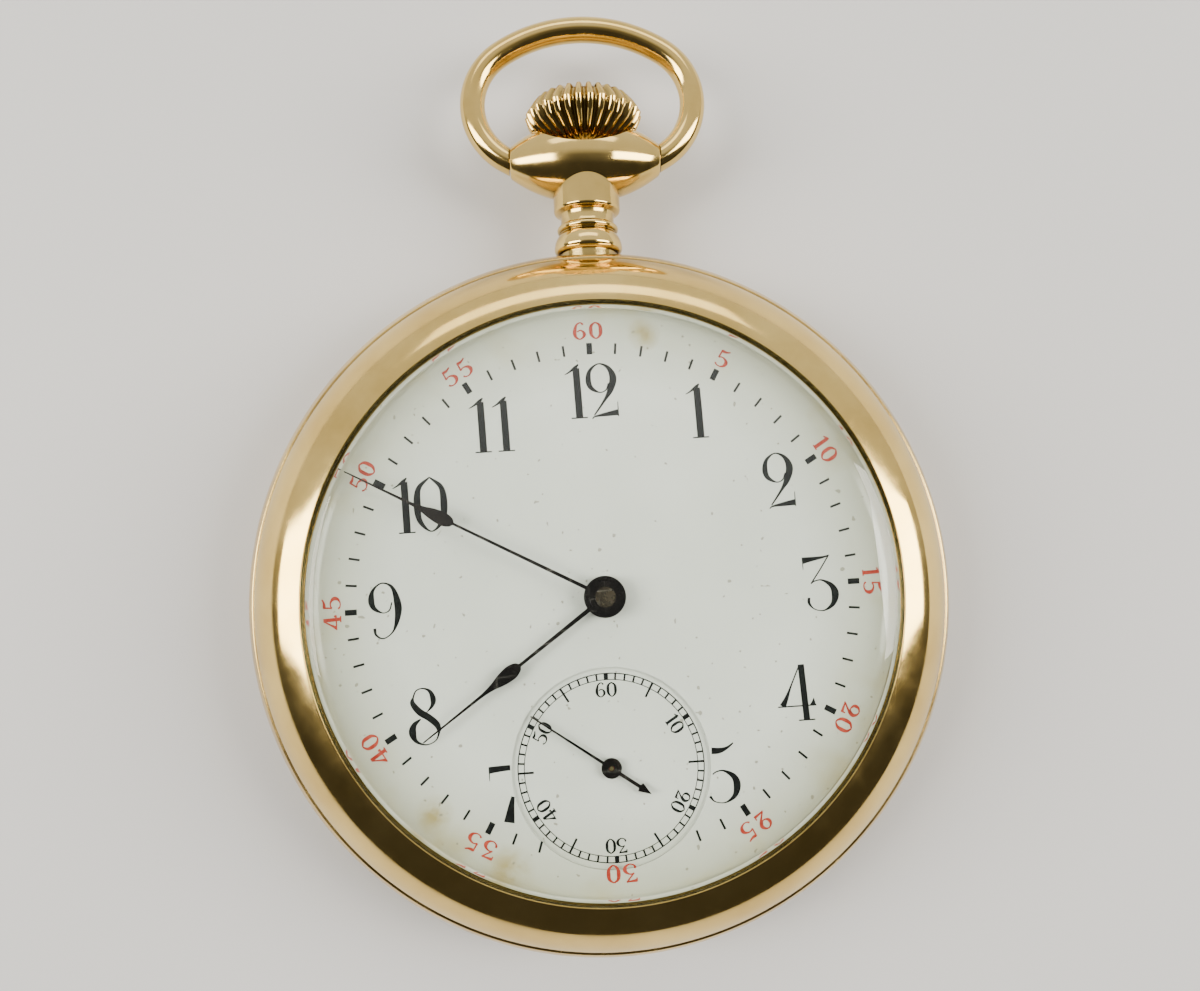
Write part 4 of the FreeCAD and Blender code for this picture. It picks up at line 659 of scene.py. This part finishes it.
# Each digit is drawn one unit high with brush strokes: every point is (x, y, width of the stroke).
HAIR = 0.024
DIGITS = {
    "0": [[(0.29, 0.99, HAIR), (0.09, 0.80, 0.09), (0.05, 0.50, 0.13), (0.09, 0.20, 0.09),
           (0.29, 0.01, HAIR), (0.49, 0.20, 0.09), (0.53, 0.50, 0.13), (0.49, 0.80, 0.09),
           (0.29, 0.99, HAIR)]],
    "1": [[(0.27, 0.0, 0.13), (0.26, 0.5, 0.13), (0.25, 0.93, 0.125)],
          [(0.30, 1.0, HAIR), (0.235, 0.94, 0.06), (0.12, 0.86, 0.03), (0.04, 0.82, 0.014)],
          [(0.12, 0.008, HAIR), (0.42, 0.008, HAIR)]],
    "2": [[(0.41, 0.62, HAIR), (0.36, 0.50, HAIR), (0.24, 0.46, 0.024), (0.09, 0.55, 0.08),
           (0.045, 0.70, 0.10), (0.09, 0.88, 0.06), (0.25, 0.99, HAIR), (0.42, 0.91, 0.07),
           (0.50, 0.72, 0.13), (0.44, 0.50, 0.11), (0.33, 0.32, 0.05), (0.12, 0.04, HAIR)],
          [(0.08, -0.02, HAIR), (0.14, 0.02, 0.03), (0.35, 0.05, 0.075), (0.555, 0.075, 0.11)],
          [(0.56, 0.0, HAIR), (0.56, 0.27, 0.012)]],
    "3": [[(0.035, 0.925, 0.12), (0.25, 0.95, 0.07), (0.42, 0.97, 0.04), (0.53, 1.0, HAIR)],
          [(0.035, 0.98, HAIR), (0.035, 0.76, 0.012)],
          [(0.52, 1.0, HAIR), (0.34, 0.74, HAIR), (0.16, 0.50, HAIR)],
          [(0.16, 0.50, HAIR), (0.22, 0.54, HAIR), (0.36, 0.555, 0.03), (0.53, 0.45, 0.09),
           (0.59, 0.29, 0.135), (0.53, 0.11, 0.08), (0.36, 0.005, HAIR), (0.19, 0.04, 0.02),
           (0.10, 0.15, 0.05), (0.105, 0.25, 0.05)]],
    "4": [[(0.47, 1.0, 0.115), (0.49, 0.5, 0.115), (0.51, 0.0, 0.115)],
          [(0.43, 0.97, HAIR), (0.27, 0.64, 0.03), (0.17, 0.42, 0.07), (0.09, 0.27, 0.12)],
          [(0.0, 0.262, HAIR), (0.70, 0.262, HAIR)],
          [(0.64, 0.262, 0.12), (0.65, 0.32, 0.06), (0.66, 0.39, 0.01)],
          [(0.36, 0.008, HAIR), (0.66, 0.008, HAIR)]],
    "5": [[(0.15, 0.925, 0.12), (0.30, 0.92, 0.10), (0.44, 0.96, 0.05), (0.56, 1.04, HAIR)],
          [(0.15, 0.98, HAIR), (0.14, 0.70, HAIR), (0.12, 0.48, HAIR)],
          [(0.12, 0.48, HAIR), (0.22, 0.55, HAIR), (0.36, 0.56, 0.035), (0.53, 0.45, 0.10),
           (0.58, 0.29, 0.13), (0.52, 0.11, 0.08), (0.35, 0.005, HAIR), (0.17, 0.03, 0.02),
           (0.08, 0.13, 0.05)]],
    "6": [[(0.47, 0.86, 0.05), (0.42, 0.96, 0.03), (0.30, 0.99, HAIR), (0.14, 0.84, 0.06),
           (0.05, 0.42, 0.13), (0.11, 0.14, 0.08), (0.30, 0.01, HAIR), (0.48, 0.15, 0.07),
           (0.52, 0.30, 0.11), (0.47, 0.45, 0.06), (0.32, 0.54, HAIR), (0.17, 0.45, HAIR)]],
    "7": [[(0.035, 0.93, 0.12), (0.30, 0.95, 0.10), (0.62, 0.955, 0.09)],
          [(0.035, 0.98, HAIR), (0.035, 0.74, 0.012)],
          [(0.64, 0.95, HAIR), (0.52, 0.68, 0.02), (0.42, 0.40, 0.075), (0.34, 0.0, 0.19)]],
    "8": [[(0.10, 0.84, 0.03), (0.09, 0.74, 0.09), (0.20, 0.59, 0.12), (0.36, 0.48, 0.12),
           (0.50, 0.35, 0.11), (0.54, 0.22, 0.06)],
          [(0.10, 0.84, 0.03), (0.16, 0.96, HAIR), (0.28, 0.995, HAIR), (0.40, 0.94, 0.06),
           (0.455, 0.80, 0.10), (0.43, 0.68, 0.06), (0.33, 0.57, 0.012)],
          [(0.22, 0.46, HAIR), (0.10, 0.36, 0.09), (0.065, 0.22, 0.13), (0.13, 0.07, 0.06),
           (0.30, 0.005, HAIR), (0.47, 0.07, 0.02), (0.54, 0.22, 0.04)]],
    "9": [[(0.41, 0.64, HAIR), (0.36, 0.50, HAIR), (0.24, 0.46, 0.02), (0.09, 0.55, 0.08),
           (0.045, 0.70, 0.11), (0.09, 0.88, 0.05), (0.25, 0.99, HAIR), (0.43, 0.90, 0.06),
           (0.515, 0.60, 0.13), (0.50, 0.36, 0.10), (0.41, 0.12, 0.03), (0.24, 0.005, HAIR),
           (0.11, 0.07, 0.04), (0.085, 0.19, 0.055)]],
}
DIGIT_WIDTH = {"0": 0.64, "1": 0.44, "2": 0.62, "3": 0.64, "4": 0.72, "5": 0.64, "6": 0.60,
               "7": 0.66, "8": 0.60, "9": 0.60}


def smooth_path(points, steps=14):
    """A curve through brush points, with the stroke's width along it."""
    if len(points) == 2:
        return [Vector(p) for p in points]
    path = [Vector(p) for p in points]
    ends = [path[0] * 2 - path[1]] + path + [path[-1] * 2 - path[-2]]
    result = []
    for a, b, c, e in zip(ends, ends[1:], ends[2:], ends[3:]):
        for k in range(steps):
            t = k / steps
            result.append(0.5 * ((2 * b) + (c - a) * t + (2 * a - 5 * b + 4 * c - e) * t * t
                                 + (3 * b - a - 3 * c + e) * t * t * t))
    result.append(path[-1])
    return result


def stroke_quads(points):
    """Quads of a stroke; widths run across the path."""
    path = smooth_path(points)
    edges = []
    for k, point in enumerate(path):
        heading = (path[min(k + 1, len(path) - 1)] - path[max(k - 1, 0)]).to_2d()
        heading.normalize()
        across = Vector((-heading.y, heading.x)) * max(point.z, 0.008) / 2
        edges.append((point.to_2d() + across, point.to_2d() - across))
    return [(edges[k][0], edges[k][1], edges[k + 1][1], edges[k + 1][0])
            for k in range(len(edges) - 1)]


def text_width(text, height, gap):
    """Length of a line of digits; gap is a share of the height."""
    return sum(DIGIT_WIDTH[c] for c in text) * height + gap * (len(text) - 1) * height


def add_text(bm, text, height, centre, turn, level, bold=0.0, gap=-0.02, widen=1.0, keep=None):
    """Lay digits flat at centre, their tops towards local +Y turned by turn."""
    wide = height * widen
    cursor = -text_width(text, wide, gap) / 2
    rotation = Matrix.Rotation(turn, 2)
    for letter in text:
        for number, stroke in enumerate(DIGITS[letter]):
            heavier = [(x, y, w + bold) for x, y, w in stroke]
            for quad in stroke_quads(heavier):
                spots = []
                for p in quad:
                    flat = Vector((cursor + p.x * wide, (p.y - 0.5) * height))
                    spots.append(rotation @ flat + Vector(centre))
                middle = sum(spots, Vector((0, 0))) / 4
                if keep and not keep(middle):
                    continue
                bm.faces.new([bm.verts.new((s.x, s.y, level + number * 0.0015)) for s in spots])
        cursor += (DIGIT_WIDTH[letter] + gap) * wide


def add_bar(bm, centre, radius, angle, length, width, level):
    """A radial bar whose middle is at radius from centre."""
    outward = Vector((math.sin(angle), math.cos(angle)))
    across = Vector((outward.y, -outward.x)) * width / 2
    middle = Vector(centre) + outward * radius
    reach = outward * length / 2
    spots = [middle - reach - across, middle + reach - across, middle + reach + across,
             middle - reach + across]
    bm.faces.new([bm.verts.new((s.x, s.y, level)) for s in spots])


def add_circle(bm, centre, radius, width, level, steps=360):
    """A thin flat ring."""
    for k in range(steps):
        spots = []
        for r, j in ((radius - width / 2, k), (radius + width / 2, k),
                     (radius + width / 2, k + 1), (radius - width / 2, k + 1)):
            angle = FULL_TURN * j / steps
            spots.append((centre[0] + r * math.sin(angle), centre[1] + r * math.cos(angle), level))
        bm.faces.new([bm.verts.new(s) for s in spots])


# ---------------------------------------------------------------- dial printing

INK_LIFT = 0.008
INK_LEVEL = DIAL_TOP + INK_LIFT
MINUTE_RING = 17.5
RED_RING = 18.8
HOUR_HEIGHT = 3.85
RED_HEIGHT = 1.2
SECONDS_HEIGHT = 0.98
# radius of each hour numeral's middle; there is none at six, where the seconds dial is
HOUR_PLACES = {1: 14.6, 2: 14.85, 3: 15.1, 4: 14.9, 5: 14.6, 7: 14.95, 8: 14.75, 9: 15.1,
               10: 14.3, 11: 14.4, 12: 14.5}


def clock_point(radius, angle):
    """A point at an angle clockwise from twelve."""
    return Vector((radius * math.sin(angle), radius * math.cos(angle)))


def outside_sink(point):
    """True where the seconds dial doesn't cut the printing away."""
    turned = Matrix.Rotation(DIAL_LEAN, 2) @ point
    return (turned - SECONDS.to_2d()).length > SINK_RADIUS + 0.12


def lean(bm, centre):
    """Turn printing with the leaning dial."""
    turn = Matrix.Rotation(DIAL_LEAN, 3, "Z")
    bmesh.ops.rotate(bm, verts=bm.verts, cent=centre, matrix=turn)


def make_printing():
    """Black hour numerals and minute marks, and red minute figures."""
    black = bmesh.new()
    for hour, radius in HOUR_PLACES.items():
        add_text(black, str(hour), HOUR_HEIGHT, clock_point(radius, FULL_TURN * hour / 12), 0.0,
                 INK_LEVEL, keep=outside_sink)
    for minute in range(60):
        angle = FULL_TURN * minute / 60
        size = (0.82, 0.40) if minute % 5 == 0 else (0.78, 0.16)
        if outside_sink(clock_point(MINUTE_RING, angle)):
            add_bar(black, (0, 0), MINUTE_RING, angle, *size, INK_LEVEL)
    lean(black, (0, 0, 0))
    shown(finish_mesh("dial_black_printing", black, BLACK_INK), "case", "enamel")
    red = bmesh.new()
    for minute in range(5, 61, 5):
        angle = FULL_TURN * minute / 60
        add_text(red, str(minute), RED_HEIGHT, clock_point(RED_RING, angle), -angle, INK_LEVEL,
                 bold=0.055, gap=0.2, widen=1.2)
    lean(red, (0, 0, 0))
    shown(finish_mesh("dial_red_printing", red, RED_INK), "case", "enamel")


def make_seconds_printing():
    """The seconds track: two circles, sixty marks and the tens; thicker marks lie a hair higher."""
    level = SINK_TOP + INK_LIFT
    centre = SECONDS.to_2d()
    outer, inner, mark, figures = 6.41, 5.98, 5.33, 5.3
    middle, depth = (outer + inner) / 2, outer - inner
    bm = bmesh.new()
    add_circle(bm, centre, outer, 0.075, level)
    add_circle(bm, centre, inner, 0.055, level)
    for second in range(60):
        angle = FULL_TURN * second / 60
        add_bar(bm, centre, middle, angle, depth, 0.13, level + 0.001)
        if second % 10 == 0:
            add_bar(bm, centre, middle, angle, depth, 0.3, level + 0.002)
            add_text(bm, str(second or 60), SECONDS_HEIGHT, centre + clock_point(figures, angle),
                     -angle, level, bold=0.05, gap=0.1, widen=1.12)
        elif second % 5 == 0:
            add_bar(bm, centre, (outer + mark) / 2, angle, outer - mark, 0.15, level + 0.002)
    lean(bm, SECONDS)
    shown(finish_mesh("seconds_dial_printing", bm, BLACK_INK), "case", "enamel")


# ---------------------------------------------------------------- stage, light and camera

FLOOR_HALF = 900.0
FLOOR_GAP = 0.02
WARM = (1.0, 0.97, 0.92)
WARMER = (1.0, 0.96, 0.88)
LENS = 31.71
CAMERA_PLACE = Vector((-2.97, 1.2, 83.77))
CAMERA_TURN = (4.633, -2.088, -2.306)


def make_floor():
    bm = bmesh.new()
    bmesh.ops.create_grid(bm, x_segments=1, y_segments=1, size=FLOOR_HALF)
    m = Nodes("pale_floor")
    m.set(Roughness=0.7)
    m.join(m.ramp(m.noise(9.0, 4.0), [(0.3, (0.68, 0.67, 0.65)), (0.7, (0.72, 0.71, 0.69))]),
           m.shader.inputs["Base Color"])
    floor = finish_mesh("floor", bm, m.material)
    floor.location.z = -FLOOR_GAP * MM


def add_lamp(name, place, target, size, power, colour):
    """A rectangular softbox that faces target; lengths in metres, power in watts."""
    data = bpy.data.lights.new(name, "AREA")
    data.shape = "RECTANGLE"
    data.size, data.size_y = size
    data.energy = power
    data.color = colour
    lamp = bpy.data.objects.new(name, data)
    bpy.context.scene.collection.objects.link(lamp)
    lamp.location = place
    lamp.rotation_euler = (Vector(target) - Vector(place)).to_track_quat("-Z", "Y").to_euler()


def make_light():
    target = (0, 0, 0.005)
    add_lamp("left_softbox", (-0.34, 0.02, 0.30), target, (0.16, 0.34), 2.3, WARM)
    add_lamp("right_softbox", (0.34, 0.02, 0.30), target, (0.16, 0.34), 2.3, WARM)
    add_lamp("top_softbox", (0.0, 0.42, 0.34), target, (0.5, 0.16), 0.6, WARMER)
    make_world()


def make_world():
    """Soft room light: pale behind twelve o'clock, dark towards six; plain pale where it is seen."""
    world = bpy.data.worlds.new("studio")
    bpy.context.scene.world = world
    world.use_nodes = True
    tree = world.node_tree
    background = tree.nodes["Background"]
    place = tree.nodes.new("ShaderNodeTexCoord")
    split = tree.nodes.new("ShaderNodeSeparateXYZ")
    ramp = tree.nodes.new("ShaderNodeValToRGB")
    spread = tree.nodes.new("ShaderNodeMapRange")
    path = tree.nodes.new("ShaderNodeLightPath")
    mix = tree.nodes.new("ShaderNodeMix")
    mix.data_type = "RGBA"
    spread.inputs["From Min"].default_value = -1.0
    mix.inputs["B"].default_value = (0.62, 0.61, 0.59, 1.0)
    for point, (position, level) in zip(
            [ramp.color_ramp.elements[0], ramp.color_ramp.elements[1],
             ramp.color_ramp.elements.new(0.5), ramp.color_ramp.elements.new(0.62)],
            [(0.30, 0.06), (1.0, 0.95), (0.50, 0.18), (0.64, 0.85)]):
        point.position = position
        point.color = (level, level * 0.98, level * 0.93, 1.0)
    tree.links.new(place.outputs["Generated"], split.inputs[0])
    tree.links.new(split.outputs["Y"], spread.inputs["Value"])
    tree.links.new(spread.outputs["Result"], ramp.inputs["Fac"])
    tree.links.new(path.outputs["Is Camera Ray"], mix.inputs["Factor"])
    tree.links.new(ramp.outputs["Color"], mix.inputs["A"])
    tree.links.new(mix.outputs["Result"], background.inputs["Color"])
    background.inputs["Strength"].default_value = 1.0


def make_camera():
    data = bpy.data.cameras.new("camera")
    data.sensor_width = 36.0
    data.lens = LENS
    data.clip_start = 0.001
    camera = bpy.data.objects.new("camera", data)
    bpy.context.scene.collection.objects.link(camera)
    camera.location = CAMERA_PLACE * MM
    camera.rotation_euler = [math.radians(a) for a in CAMERA_TURN]
    bpy.context.scene.camera = camera


finish_cad_nodes()
make_case_center()
make_bezel()
make_back_cover()
make_crystal()
make_pendant()
make_bow()
make_crown()
make_printing()
make_seconds_printing()
make_floor()
make_light()
make_camera()
